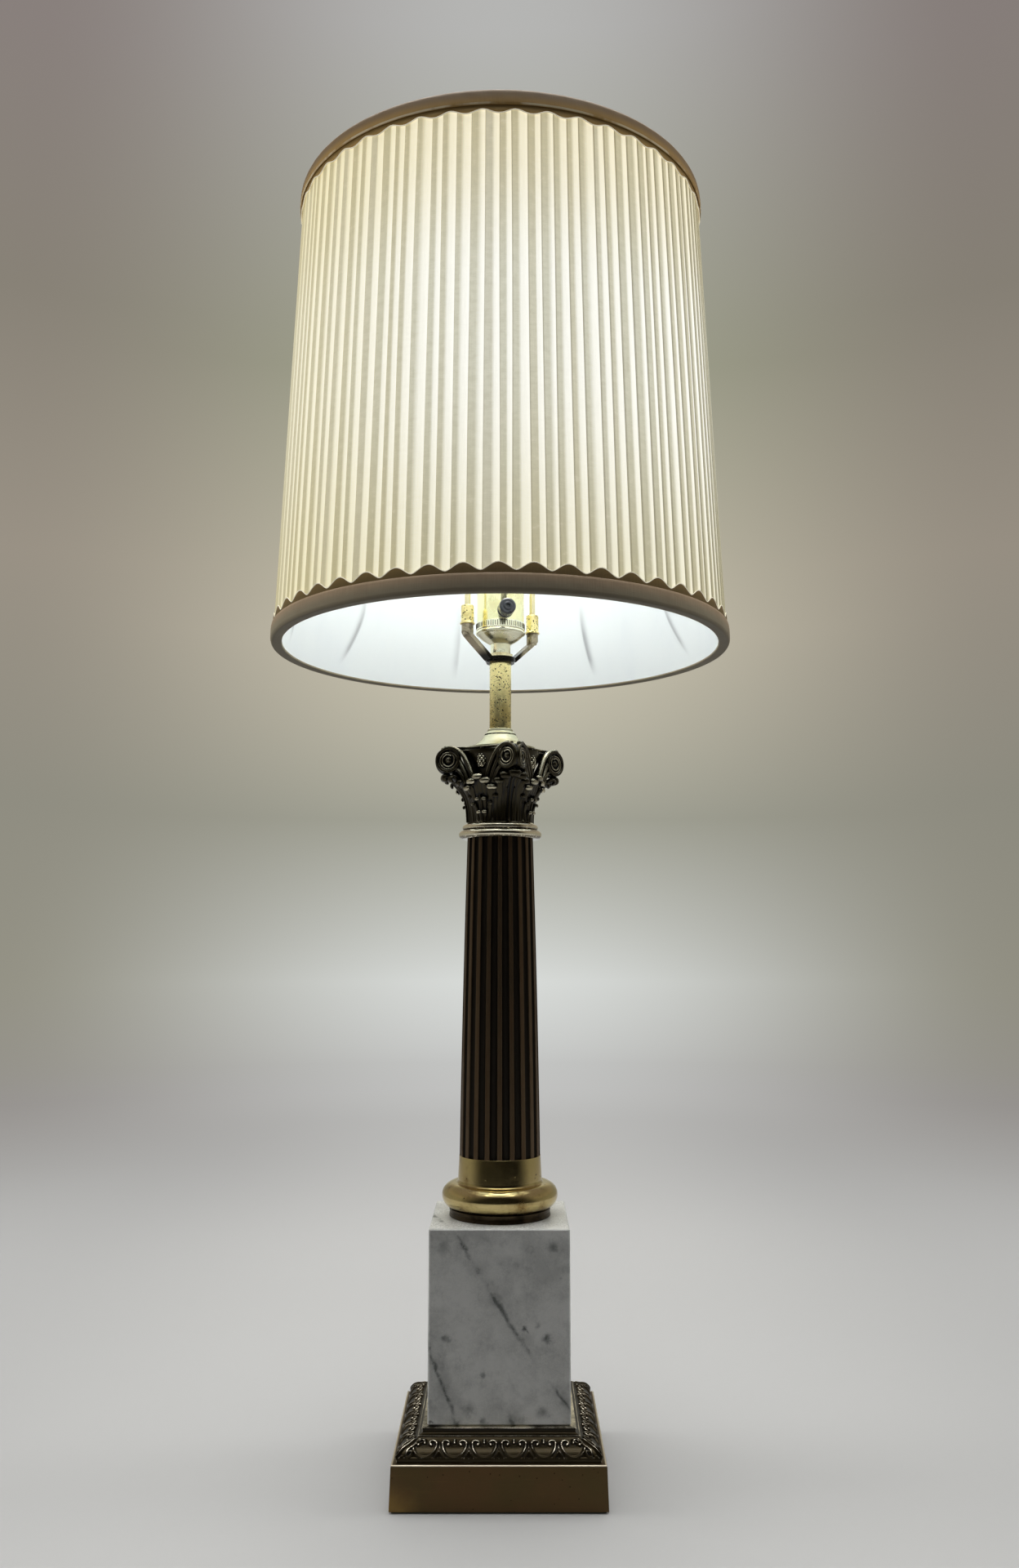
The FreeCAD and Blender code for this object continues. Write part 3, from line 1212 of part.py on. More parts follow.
def scalloped_braid(rim, inward, tuck, trough, wave, scallops):
    """A flat braid with a waved edge. It starts under the band, and its waves show beyond it."""
    steps = scallops * WAVE_STEPS
    outer_low, outer_high, inner_low, inner_high = [], [], [], []
    for i in range(steps):
        angle = -90.0 + 360.0 * i / steps
        crest = (1.0 + math.cos(2.0 * math.pi * i / WAVE_STEPS)) / 2.0
        base = rim + inward * tuck
        edge = rim + inward * (trough + wave * crest)
        outer_low.append(point(shade_radius(base, BRAID_DEPTH), angle, base))
        outer_high.append(point(shade_radius(edge, BRAID_DEPTH), angle, edge))
        inner_low.append(point(shade_radius(base, BRAID_DEPTH + BRAID_CLOTH), angle, base))
        inner_high.append(point(shade_radius(edge, BRAID_DEPTH + BRAID_CLOTH), angle, edge))
    faces = wall(outer_low, outer_high) + wall(inner_low, inner_high)
    faces += wall(outer_high, inner_high, flat=False)
    faces.append(flat_ring(outer_low, inner_low))
    return solid_of(faces)


def bottom_band():
    return rim_band(Z_SHADE, 1.0, BAND_HEIGHT_LOW)


def top_band():
    return rim_band(Z_SHADE_TOP, -1.0, BAND_HEIGHT_HIGH).cut(spider_arms(SPIDER_WIRE + LAYER_GAP))


def bottom_braid():
    tuck = BAND_HEIGHT_LOW - BRAID_TUCK
    return scalloped_braid(Z_SHADE, 1.0, tuck, BRAID_TROUGH_LOW, BRAID_WAVE, SCALLOPS_LOW)


def top_braid():
    tuck = BAND_HEIGHT_HIGH - BRAID_TUCK
    return scalloped_braid(
        Z_SHADE_TOP, -1.0, tuck, BRAID_TROUGH_HIGH, BRAID_WAVE_HIGH, SCALLOPS_HIGH
    )


def finial():
    """A turned knob that screws down on the stud: flared foot, neck, ball and a small tip."""
    foot = Z_FINIAL
    top = foot + FINIAL_HEIGHT
    tip = top - FINIAL_TIP_RADIUS
    ball = tip - FINIAL_BALL_RADIUS - FINIAL_TIP_RADIUS * 0.6
    bore = STUD_RADIUS + RUNNING_CLEARANCE

    def on_ball(turn, radius=FINIAL_BALL_RADIUS, centre=ball):
        angle = math.radians(turn)
        return radius * math.cos(angle), centre + radius * math.sin(angle)

    outline = Outline(bore, foot).line(FINIAL_BASE_RADIUS, foot).line(FINIAL_BASE_RADIUS, foot + 1.6)
    neck = (foot + 1.6 + on_ball(-55)[1]) / 2.0
    outline.arc(FINIAL_NECK_RADIUS, neck, *on_ball(-55))
    outline.arc(*on_ball(0), *on_ball(72))
    outline.line(*on_ball(-25, FINIAL_TIP_RADIUS, tip))
    outline.arc(*on_ball(30, FINIAL_TIP_RADIUS, tip), 0.0, top)
    outline.line(0.0, foot + FINIAL_BORE_DEPTH).line(bore, foot + FINIAL_BORE_DEPTH)
    return outline.revolved()


# ---------------------------------------------------------------- the lamp
PIECES = {
    "base_casting": base_casting,
    "base_felt": base_felt,
    "cord_bushing": cord_bushing,
    "pipe_washer": pipe_washer,
    "pipe_nut": pipe_nut,
    "threaded_pipe": threaded_pipe,
    "marble_block": marble_block,
    "column_foot": column_foot,
    "column_base": column_base,
    "column_shaft": column_shaft,
    "neck_ring": neck_ring,
    "capital": capital,
    "capital_cover": capital_cover,
    "seat_ring": seat_ring,
    "riser_tube": riser_tube,
    "saddle_washer": saddle_washer,
    "harp_saddle": harp_saddle,
    "saddle_nut": saddle_nut,
    "socket_cap": socket_cap,
    "cap_set_screw": cap_set_screw,
    "socket_shell": socket_shell,
    "socket_liner": socket_liner,
    "socket_body": socket_body,
    "terminal_screws": terminal_screws,
    "screw_shell": screw_shell,
    "centre_contact": centre_contact,
    "knob_stem": knob_stem,
    "switch_knob": switch_knob,
    "bulb_tip": bulb_tip,
    "bulb_insulator": bulb_insulator,
    "bulb_base": bulb_base,
    "bulb_glass": bulb_glass,
    "harp_wire": harp_wire,
    "harp_sleeve_left": lambda: harp_sleeve(SADDLE_TURN + 180.0),
    "harp_sleeve_right": lambda: harp_sleeve(SADDLE_TURN),
    "harp_stud": harp_stud,
    "shade_spider": shade_spider,
    "shade_bottom_ring": shade_bottom_ring,
    "shade_ribs": shade_ribs,
    "shade_liner": shade_liner,
    "shade_cover": shade_cover,
    "bottom_band": bottom_band,
    "top_band": top_band,
    "bottom_braid": bottom_braid,
    "top_braid": top_braid,
    "finial": finial,
}


def main():
    os.makedirs("parts", exist_ok=True)
    for name, build in PIECES.items():
        shape = build()
        if not shape.isValid():
            print("not valid:", name)
        shape.exportStep("parts/%s.step" % name)
        print("%-20s %2d solid(s) %12.2f mm3" % (name, len(shape.Solids), shape.Volume))


if __name__ == "__main__":
    main()
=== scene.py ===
"""Looks of the column table lamp: carved brass, marble and a lit, knife-pleated shade.

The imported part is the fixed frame. Sizes here are millimetres in the part's own frame
(+Z up, front towards -Y) and become metres when a mesh is made.
"""

from __future__ import annotations

import logging
import sys
from dataclasses import dataclass, field, replace
from enum import Enum
from math import asin, atan2, copysign, cos, hypot, pi, radians, sin, sqrt
from typing import Callable, Iterable, Mapping, Sequence, Union

import bmesh
import bpy
import numpy as np
from bpy.types import Material, Mesh, NodeSocket, Object
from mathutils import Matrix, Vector
from mathutils.bvhtree import BVHTree

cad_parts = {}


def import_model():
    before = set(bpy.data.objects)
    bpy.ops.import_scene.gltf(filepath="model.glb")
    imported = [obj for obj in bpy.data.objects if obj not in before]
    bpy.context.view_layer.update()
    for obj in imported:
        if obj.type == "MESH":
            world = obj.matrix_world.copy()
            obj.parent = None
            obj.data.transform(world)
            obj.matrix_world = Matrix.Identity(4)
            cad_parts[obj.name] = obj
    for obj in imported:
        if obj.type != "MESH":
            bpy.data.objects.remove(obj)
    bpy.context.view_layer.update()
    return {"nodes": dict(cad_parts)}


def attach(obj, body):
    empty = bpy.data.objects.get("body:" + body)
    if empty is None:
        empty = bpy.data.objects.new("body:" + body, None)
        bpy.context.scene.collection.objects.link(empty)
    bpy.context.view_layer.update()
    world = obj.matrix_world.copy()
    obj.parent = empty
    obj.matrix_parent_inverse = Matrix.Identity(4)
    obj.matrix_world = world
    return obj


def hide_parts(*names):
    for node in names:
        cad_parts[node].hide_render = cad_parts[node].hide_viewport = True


LOG = logging.getLogger("lamp")
MM = 0.001
GOLDEN_TURN = 2.39996
# Dark of pits, also used for the painted shade bands on brass.
DIRT_AND_SHADE = (0.03, 0.02, 0.01)
Array = np.ndarray
Colour = tuple[float, float, float]
Point = tuple[float, float]
Rows = tuple[tuple[float, ...], ...]
Stops = tuple[tuple[float, Colour], ...]
Setting = Union["Value", float, int, bool, str, Sequence[float], bpy.types.ID]


class Body(Enum):
    """The frame's bodies that new pieces ride on."""

    LAMP = "lamp"
    SWITCH = "switch"
    BULB = "bulb"
    SLEEVE_LEFT = "sleeve_left"
    SLEEVE_RIGHT = "sleeve_right"
    SHADE = "shade"
    FINIAL = "finial"


# ---- node graphs
def operator(operation: str, swapped: bool = False) -> Callable[["Value", Setting], "Value"]:
    """The method behind one of Python's operators."""

    def method(self: "Value", other: Setting) -> "Value":
        """Adds the operator's Math node."""
        return self.graph.math(operation, *((other, self) if swapped else (self, other)))

    return method


class Value:
    """A node's output that Python's operators work on."""

    def __init__(self, graph: "Graph", socket: NodeSocket) -> None:
        """Wraps one output socket of a graph."""
        self.graph = graph
        self.socket = socket

    __add__ = __radd__ = operator("ADD")
    __sub__ = operator("SUBTRACT")
    __rsub__ = operator("SUBTRACT", True)
    __mul__ = __rmul__ = operator("MULTIPLY")
    __truediv__ = operator("DIVIDE")
    __pow__ = operator("POWER")
    __gt__ = operator("GREATER_THAN")
    __lt__ = operator("LESS_THAN")
    at_least = operator("MAXIMUM")
    at_most = operator("MINIMUM")

    def __abs__(self) -> "Value":
        """The distance from 0."""
        return self.graph.math("ABSOLUTE", self)


class Graph:
    """A node tree that is written as expressions."""

    def __init__(self, tree: bpy.types.NodeTree) -> None:
        """Starts with an empty tree."""
        self.tree = tree
        self.tree.nodes.clear()

    def node(
        self,
        kind: str,
        settings: Mapping[str, object] | None = None,
        inputs: Mapping[int | str, Setting] | None = None,
        output: int | str = 0,
    ) -> Value:
        """Adds one node.

        Args:
            kind: The node's type.
            settings: Its properties, set first. "stops" fills a colour ramp.
            inputs: The values or links of its sockets, by index or name.
            output: The output to hand back.

        Returns:
            The chosen output.
        """
        node = self.tree.nodes.new(kind)
        for name, setting in (settings or {}).items():
            if name == "stops":
                self._fill_ramp(node.color_ramp, setting)
            else:
                setattr(node, name, setting)
        for key, value in (inputs or {}).items():
            socket = node.inputs[key]
            if isinstance(value, Value):
                self.tree.links.new(value.socket, socket)
            elif isinstance(value, tuple) and len(value) == 3 and socket.type == "RGBA":
                socket.default_value = (*value, 1)
            else:
                socket.default_value = value
        return Value(self, node.outputs[output]) if node.outputs else None

    @staticmethod
    def _fill_ramp(ramp: bpy.types.ColorRamp, stops: Stops) -> None:
        """Gives a ramp its stops."""
        while len(ramp.elements) < len(stops):
            ramp.elements.new(1)
        for element, (place, colour) in zip(ramp.elements, stops):
            element.position = place
            element.color = (*colour, 1)

    def math(self, operation: str, *values: Setting) -> Value:
        """Adds a Math node."""
        return self.node("ShaderNodeMath", {"operation": operation}, dict(enumerate(values)))

    def vector(self, x: Setting, y: Setting, z: Setting) -> Value:
        """Joins three values."""
        return self.node("ShaderNodeCombineXYZ", None, {0: x, 1: y, 2: z})

    def outputs(self, first: Value) -> Mapping[int | str, NodeSocket]:
        """All the outputs of a value's node."""
        return first.socket.node.outputs

    def parts(self, vector: Value) -> tuple[Value, Value, Value]:
        """Splits a vector."""
        outputs = self.outputs(self.node("ShaderNodeSeparateXYZ", None, {0: vector}))
        return tuple(Value(self, outputs[i]) for i in range(3))

    def ramp_between(self, value: Value, low: Setting, high: Setting) -> Value:
        """0 below low, 1 above high, with a soft step between. high may be the smaller."""
        settings = {"interpolation_type": "SMOOTHSTEP"}
        return self.node("ShaderNodeMapRange", settings, {0: value, 1: low, 2: high})


class Finish(Graph):
    """A material written as expressions."""

    def __init__(self, name: str) -> None:
        """Makes the material and empties its tree."""
        self.material = bpy.data.materials.new(name)
        self.material.use_nodes = True
        super().__init__(self.material.node_tree)
        self.place = self.node("ShaderNodeTexCoord", None, None, "Object")

    def noise(self, scale: float, detail: float = 4.0, rough: float = 0.5, at: Value | None = None) -> Value:
        """Fractal noise from 0 to 1, with features of about 1/scale metres."""
        inputs = {"Vector": at or self.place, "Scale": scale, "Detail": detail, "Roughness": rough}
        return self.node("ShaderNodeTexNoise", None, inputs, "Fac")

    def cloud(self, low: float, high: float, *noise: float) -> Value:
        """Soft clouds: where a noise lies between two levels it goes from 0 to 1."""
        return self.ramp_between(self.noise(*noise), low, high)

    def threads(
        self, around: Value, z: Value, counts: Point, seed: float = 0, detail: float = 2,
        rough: float = 0.5,
    ) -> Value:
        """Noise with its own counts to the metre round the lamp and up it."""
        at = self.vector(around * counts[0], z * counts[1], seed)
        return self.noise(1, detail, rough, at)

    def stretched(self, *factors: float) -> Value:
        """Object coordinates stretched along the axes."""
        inputs = {0: self.place, 1: factors}
        return self.node("ShaderNodeVectorMath", {"operation": "MULTIPLY"}, inputs)

    def spots(self, scale: float, low: float, high: float) -> Value:
        """Round spots: 1 in a spot's middle, 0 outside."""
        inputs = {"Vector": self.place, "Scale": scale}
        cells = self.node("ShaderNodeTexVoronoi", {"feature": "F1"}, inputs, "Distance")
        return self.ramp_between(cells, high, low)

    def attribute(self, name: str) -> Value:
        """A number that the mesh carries on its points."""
        return self.node("ShaderNodeAttribute", {"attribute_name": name}, None, "Fac")

    def mix(self, share: Setting, first: Setting, second: Setting, how: str = "MIX") -> Value:
        """Mixes two colours."""
        settings = {"data_type": "RGBA", "blend_type": how}
        return self.node("ShaderNodeMix", settings, {0: share, 6: first, 7: second}, 2)

    def layers(self, colour: Setting, *coats: tuple[Setting, Setting]) -> Value:
        """Lays coats, each a share and a colour, over a colour."""
        for share, coat in coats:
            colour = self.mix(share, colour, coat)
        return colour

    def round_about(self, radius: float) -> tuple[Value, Value, Value]:
        """The way round the lamp's axis at a radius, the distance from the axis and the height."""
        x, y, z = self.parts(self.place)
        return self.math("ARCTAN2", x, 0 - y) * radius, (x * x + y * y) ** 0.5, z

    def done(
        self, colour: Value, roughness: Value, height: Value, depth: float,
        others: Mapping[str, Setting] | None = None,
    ) -> Material:
        """Ends the tree in a Principled shader.

        Args:
            colour: The base colour.
            roughness: The roughness.
            height: What the bump follows.
            depth: The bump's depth in metres.
            others: More sockets of the shader, by name.

        Returns:
            The material.
        """
        bump = {"Height": height, "Distance": depth, "Strength": 1}
        normal = self.node("ShaderNodeBump", None, bump, "Normal")
        sockets = {"Base Color": colour, "Roughness": roughness, "Normal": normal, **(others or {})}
        shader = self.node("ShaderNodeBsdfPrincipled", None, sockets)
        self.node("ShaderNodeOutputMaterial", None, {0: shader})
        return self.material


# ---- finishes
@dataclass(frozen=True)
class Brass:
    """Brass or bronze with tarnish clouds, fine pits and bands of painted shade at given heights."""

    name: str
    bright: Colour
    dull: Colour
    roughness: float = 0.22
    tarnish: Point = (0.45, 0.62)
    clouds: float = 45.0
    grain: float = 900.0
    grain_depth: float = 0.00003
    pits: float = 0.0
    pit_scale: float = 700.0
    black_radius: float = 0.0
    shade_bands: tuple[Point, ...] = ()

    def material(self) -> Material:
        """Builds the material, black within the given distance of the axis and darkened with painted shade in
        a band round each given (height, reach).
        """
        f = Finish(self.name)
        cloud = f.cloud(*self.tarnish, self.clouds, 6, 0.62)
        fine = f.noise(self.grain, 3)
        colour = f.layers(self.bright, (cloud, self.dull), (fine * 0.22, self.dull))
        rough = cloud * 0.16 + fine * 0.1 + (self.roughness - 0.05)
        height = fine * 0.5
        if self.pits:
            eaten = f.cloud(1 - self.pits, 1.05 - self.pits, self.clouds * 4, 4)
            pit = f.spots(self.pit_scale, 0.22, 0.34) * eaten
            colour = f.mix(pit, colour, DIRT_AND_SHADE)
            rough = rough + pit * 0.35
            height = height - pit * 2
        # Black within the given distance of the axis, as on the saddle's hub.
        if self.black_radius:
            black = f.ramp_between(f.round_about(1)[1], self.black_radius + 0.006, self.black_radius)
            colour = f.mix(black, colour, (0.012, 0.01, 0.008))
        # Painted shade: a dark band at each given height, made patchy with noise.
        for level, reach in self.shade_bands:
            near = f.ramp_between(abs(f.parts(f.place)[2] - level), reach, reach * 0.2)
            share = near * f.ramp_between(fine + cloud * 0.4, 0.3, 0.5)
            colour = f.mix(share * 0.88, colour, DIRT_AND_SHADE)
        return f.done(colour, rough, height, self.grain_depth, {"Metallic": 1})


@dataclass(frozen=True)
class CarvedBrass:
    """Cast and patinated brass: dark in the hollows, bright on what stands out, as rubbed wear and painted
    highlight.
    """

    name: str
    bright: Colour
    body: Colour
    hollow: Colour
    rubbed: Point
    roughness: float
    coat: float

    def material(self) -> Material:
        """Builds the material. It reads the mesh's hollow and ridge numbers."""
        f = Finish(self.name)
        fine = f.noise(1100, 4)
        cloud = f.noise(70, 5, 0.6)
        # Rubbed wear and painted highlight in one: the ridge number paints what stands out bright.
        wear = f.attribute("ridge") + (cloud - 0.5) * 0.7 + (fine - 0.5) * 0.25
        worn = f.ramp_between(wear, *self.rubbed)
        dark = f.ramp_between(f.attribute("hollow") + (cloud - 0.5) * 0.3, 0.25, 0.75)
        colour = f.layers(self.body, (dark, self.hollow), (worn * (1 - dark * 0.7), self.bright))
        rough = (1 - worn) * 0.18 + dark * 0.12 + fine * 0.12 + (self.roughness - 0.1)
        coat = {"Coat Weight": self.coat, "Coat Roughness": 0.12}
        return f.done(colour, rough, fine + cloud, 0.00006, {"Metallic": 1 - dark * 0.35, **coat})


@dataclass(frozen=True)
class SkirtBrass:
    """The plain square skirt: olive-brown lacquer, golden where hands have rubbed its corners."""

    name: str
    half: float
    top: float
    gold: Colour = (0.3, 0.19, 0.06)
    brown: Colour = (0.112, 0.068, 0.032)
    olive: Colour = (0.096, 0.068, 0.03)

    def material(self) -> Material:
        """Builds the material."""
        f = Finish(self.name)
        x, y, z = f.parts(f.place)
        far = abs(x).at_least(abs(y))
        near = abs(x).at_most(abs(y))
        corner = f.ramp_between(near / far, 0.5, 1.05) * f.ramp_between(z, self.top, 0.004)
        corner = corner * (f.ramp_between(x, 0.03, -0.05) * 0.75 + 0.25)
        cloud = f.noise(22, 5, 0.6)
        drawn = f.noise(60, 4, 0.6, f.stretched(0.5, 0.5, 9))
        fine = f.noise(1300, 2)
        rub = f.ramp_between(corner * 0.5 + cloud * 0.75, 0.52, 1.1)
        # Painted highlight: a pale, smoother line along the skirt's top edge.
        arris_highlight = f.ramp_between(z, self.top - 0.0009, self.top - 0.0001)
        arris_highlight = arris_highlight * f.ramp_between(far, self.half - 0.0016, self.half - 0.0006)
        colour = f.layers(
            self.brown,
            (f.ramp_between(cloud, 0.35, 0.66), self.olive),
            (rub, self.gold),
            (f.ramp_between(drawn, 0.56, 0.8) * 0.1, self.gold),
            (f.spots(160, 0.04, 0.1) * 0.8, (0.02, 0.014, 0.006)),
            (arris_highlight * 0.85, (0.95, 0.85, 0.66)),
        )
        rough = 0.38 + fine * 0.16 - rub * 0.08 - arris_highlight * 0.12
        return f.done(colour, rough, fine * 0.4 + drawn, 0.00004, {"Metallic": 1})


@dataclass(frozen=True)
class FlutedBronze:
    """The shaft: brown-black patina in the flutes and worn, streaky bronze on the lands."""

    name: str
    land: Colour = (0.098, 0.068, 0.038)
    worn: Colour = (0.1, 0.055, 0.028)
    flute: Colour = (0.017, 0.012, 0.0065)
    edge: Colour = (0.19, 0.135, 0.085)

    def material(self) -> Material:
        """Builds the material. It reads the mesh's hollow and ridge numbers."""
        f = Finish(self.name)
        around, _, z = f.round_about(0.027)
        hollow, ridge = f.attribute("hollow"), f.attribute("ridge")
        streak = f.threads(around, z, (900, 22), 0, 4, 0.6)
        blotch = f.noise(40, 5, 0.6)
        fine = f.noise(1400, 2)
        wear = f.ramp_between(streak * 0.6 + blotch * 0.6, 0.42, 0.78)
        colour = f.layers(
            self.land,
            (wear * 0.75, self.worn),
            (ridge * (1 - wear * 0.5), self.edge),
            (f.ramp_between(hollow + (blotch - 0.5) * 0.2, 0.1, 0.5), self.flute),
        )
        rough, height = 0.36 + wear * 0.14 + fine * 0.08, streak * 0.5 + fine * 0.5
        return f.done(colour, rough, height, 0.00004, {"Metallic": 1 - hollow * 0.4})


@dataclass(frozen=True)
class Marble:
    """White marble with fine grey diagonal veins, clouds and small dark blots.

    A vein is (x and z of its normal, distance, width, strength, high end, low end) and a blot
    (x, z, radius, strength), in metres on the front face.
    """

    name: str
    white: Colour = (0.91, 0.91, 0.855)
    vein: Colour = (0.17, 0.18, 0.165)
    front: float = 0.0476
    veins: Rows = (
        (0.84, 0.545, 0.0664, 0.0026, 0.72, 0.3, 0.092),
        (0.93, 0.36, -0.009, 0.0022, 0.66, 0.098, 0),
        (0.9, 0.44, 0.0304, 0.0022, 0.55, 0.058, 0),
        (0.82, 0.57, 0.07, 0.0018, 0.55, 0.073, 0.055),
        (0.86, 0.51, -0.035, 0.002, 0.5, 0.3, 0),
    )
    blots: Rows = (
        (0.0323, 0.101, 0.0034, 0.9), (0.0172, 0.107, 0.002, 0.8), (0.0255, 0.109, 0.0026, 0.5),
        (-0.0113, 0.0777, 0.0024, 0.7), (-0.0364, 0.101, 0.0028, 0.6), (0.0357, 0.1608, 0.004, 0.5),
        (-0.0378, 0.159, 0.005, 0.4), (-0.0103, 0.048, 0.003, 0.6), (-0.0206, 0.0563, 0.0055, 0.5),
        (0.0275, 0.0545, 0.0045, 0.5), (-0.0447, 0.048, 0.0014, 0.7),
    )

    def material(self) -> Material:
        """Builds the material."""
        f = Finish(self.name)
        x, y, z = f.parts(f.place)
        warp = f.noise(32, 7, 0.66) - 0.5
        ragged = f.noise(240, 4, 0.6) - 0.5
        broken = f.cloud(0.4, 0.6, 75, 5, 0.65) * 0.88 + 0.12
        depth = y + self.front
        grey = f.cloud(0.4, 0.66, 34, 7, 0.66) * 0.34
        grey = grey + f.cloud(0.5, 0.68, 90, 5, 0.6) * 0.18
        for share_x, share_z, place, width, strength, high, low in self.veins:
            way = x * share_x + z * share_z + depth * 0.28 - place
            away = abs(way + warp * 0.012 + ragged * 0.0012)
            core = f.ramp_between(away, width, 0) * broken
            kept = f.ramp_between(z, high + 0.004, high - 0.004)
            kept = kept * f.ramp_between(z, low - 0.014, low + 0.012) * strength
            grey = grey + (core + f.ramp_between(away, width * 5, 0) * 0.2) * kept
        for at_x, at_z, radius, strength in self.blots:
            across, along = x - at_x + ragged * 0.008 + warp * 0.006, z - at_z - ragged * 0.006
            away = (across * across + along * along + depth * depth) ** 0.5
            grey = grey + f.ramp_between(away, radius * 1.35, radius * 0.1) * strength
        scattered = f.cloud(0.68, 0.78, 95, 3, 0.5) * f.cloud(0.42, 0.6, 14, 3)
        net = f.ramp_between(abs(f.noise(48, 8, 0.7) - 0.5), 0.03, 0)
        grain = f.noise(900, 2)
        grey = (grey + scattered * 0.5 + net * 0.07).at_most(1)
        warm = f.cloud(0.5, 0.75, 11, 3) * 0.1
        colour = f.layers(self.white, (grey, self.vein), (warm, (0.74, 0.66, 0.6)))
        below = {"Subsurface Weight": 0.1, "Subsurface Radius": (1, 0.9, 0.8), "Subsurface Scale": 0.0015}
        return f.done(colour, 0.22 + grey * 0.08 + grain * 0.08, grain, 0.00002, {**below, "IOR": 1.49})


@dataclass(frozen=True)
class Plain:
    """A plain manufactured surface with a little grain and soiling, such as plastic or plate."""

    name: str
    colour: Colour
    roughness: float
    metallic: float = 0.0
    soil: Colour = (0.05, 0.045, 0.04)
    grain: float = 1200.0
    depth: float = 0.00003
    glow: float = 0.0
    coat: float = 0.0

    def material(self) -> Material:
        """Builds the material."""
        f = Finish(self.name)
        cloud = f.cloud(0.45, 0.8, 60, 5, 0.6)
        fine = f.noise(self.grain, 3)
        colour = f.mix(cloud * 0.25 + fine * 0.06, self.colour, self.soil)
        others: dict[str, Setting] = {"Metallic": self.metallic, "Coat Weight": self.coat}
        if self.glow:
            others["Emission Color"] = f.mix(fine * 0.05, (1, 0.97, 0.9), (0.9, 0.86, 0.78))
            others["Emission Strength"] = self.glow
        rough = cloud * 0.12 + fine * 0.06 + self.roughness
        return f.done(colour, rough, fine, self.depth, others)


@dataclass(frozen=True)
class PleatedCloth:
    """Thin cream cloth with a painted glow for the bulb's light behind it, dim where three layers lie on each
    other.
    """

    name: str
    radius: float
    high: float
    bulb: float

    def material(self) -> Material:
        """Builds the material. It reads the mesh's thin and tone numbers and the painted shadow number at the
        folds.
        """
        f = Finish(self.name)
        around, _, z = f.round_about(self.radius)
        crease, tone = f.attribute("crease"), f.attribute("tone")
        warp = f.threads(around, z, (1900, 60))
        weft = f.threads(around, z, (120, 2100), 3)
        slub = f.ramp_between(f.threads(around, z, (150, 1000), 7, 3, 0.6), 0.62, 0.8)
        mottle = f.threads(around, z, (150, 260), 11, 4, 0.6)
        # Painted light: the glow is brightest at the bulb's height, and painted dimmer and yellower towards
        # the top and towards the left and right sides.
        middle = f.ramp_between(abs(z - self.bulb), 0.215, 0.02)
        top = f.ramp_between(z, self.high - 0.13, self.high)
        left, right = (f.ramp_between(f.parts(f.place)[0], side * 0.02, side * 0.15) for side in (-1, 1))
        folded = f.layers(
            (0.4, 0.36, 0.2),
            (middle, (0.625, 0.62, 0.505)),
            (top * 0.85, (0.53, 0.465, 0.275)),
            (f.ramp_between(tone, 0.55, 0.95) * 0.3, (0.62, 0.6, 0.52)),
            (f.ramp_between(tone, 0.45, 0.05) * 0.22, (0.5, 0.43, 0.24)),
            (f.ramp_between(mottle, 0.46, 0.62) * 0.22, (0.4, 0.38, 0.27)),
            (f.ramp_between(mottle, 0.45, 0.3) * 0.25, (0.78, 0.72, 0.6)),
            (right * 0.22, (0.3, 0.285, 0.18)),
            (left * 0.45, (0.32, 0.25, 0.04)),
        )
        single = f.layers(
            (0.95, 0.905, 0.68),
            (middle, (1.12, 1.12, 1.05)),
            (top * 0.85, (1.03, 0.94, 0.68)),
            (left * 0.42, (0.8, 0.68, 0.27)),
        )
        light = f.mix(f.attribute("thin"), folded, single)
        weave = warp * 0.16 + weft * 0.14 + slub * 0.1 + f.noise(9, 3, 0.5) * 0.06
        # Painted shadow along the folds' edges darkens both the glow and the cloth's own colour.
        shade = (1 - weave) * (1 - crease * 0.68)
        light = f.mix(1, light, f.vector(shade, shade, shade), "MULTIPLY")
        dye_and_crease_shade = f.layers((0.45, 0.42, 0.32), (weave, (0.34, 0.31, 0.21)), (crease * 0.6, (0.3, 0.27, 0.19)))
        glow = {"Emission Color": light, "Emission Strength": 1}
        return f.done(dye_and_crease_shade, 0.82 + weft * 0.1, warp + weft, 0.00008, glow)


@dataclass(frozen=True)
class LiningCloth:
    """Smooth white lining with a painted glow, dimmer low down, and painted shade in its drawn folds."""

    name: str

    def material(self) -> Material:
        """Builds the material. It reads the mesh's number for the painted shade in its drawn folds."""
        f = Finish(self.name)
        weave = f.noise(1500, 2)
        drape = f.noise(26, 3, 0.5, f.stretched(1, 1, 0.35))
        cloth = f.layers(
            (0.585, 0.62, 0.63),
            # Painted shade: the glow is dimmer low down, and grey along the drawn folds.
            (f.ramp_between(f.parts(f.place)[2], 0.66, 0.58), (0.54, 0.57, 0.575)),
            (f.ramp_between(drape, 0.4, 0.75) * 0.25, (0.46, 0.5, 0.54)),
            (f.attribute("crease") * 0.8, (0.2, 0.21, 0.22)),
        )
        glow = {"Emission Color": cloth, "Emission Strength": 0.46}
        return f.done(cloth, 0.75 + weave * 0.1, weave, 0.00004, glow)


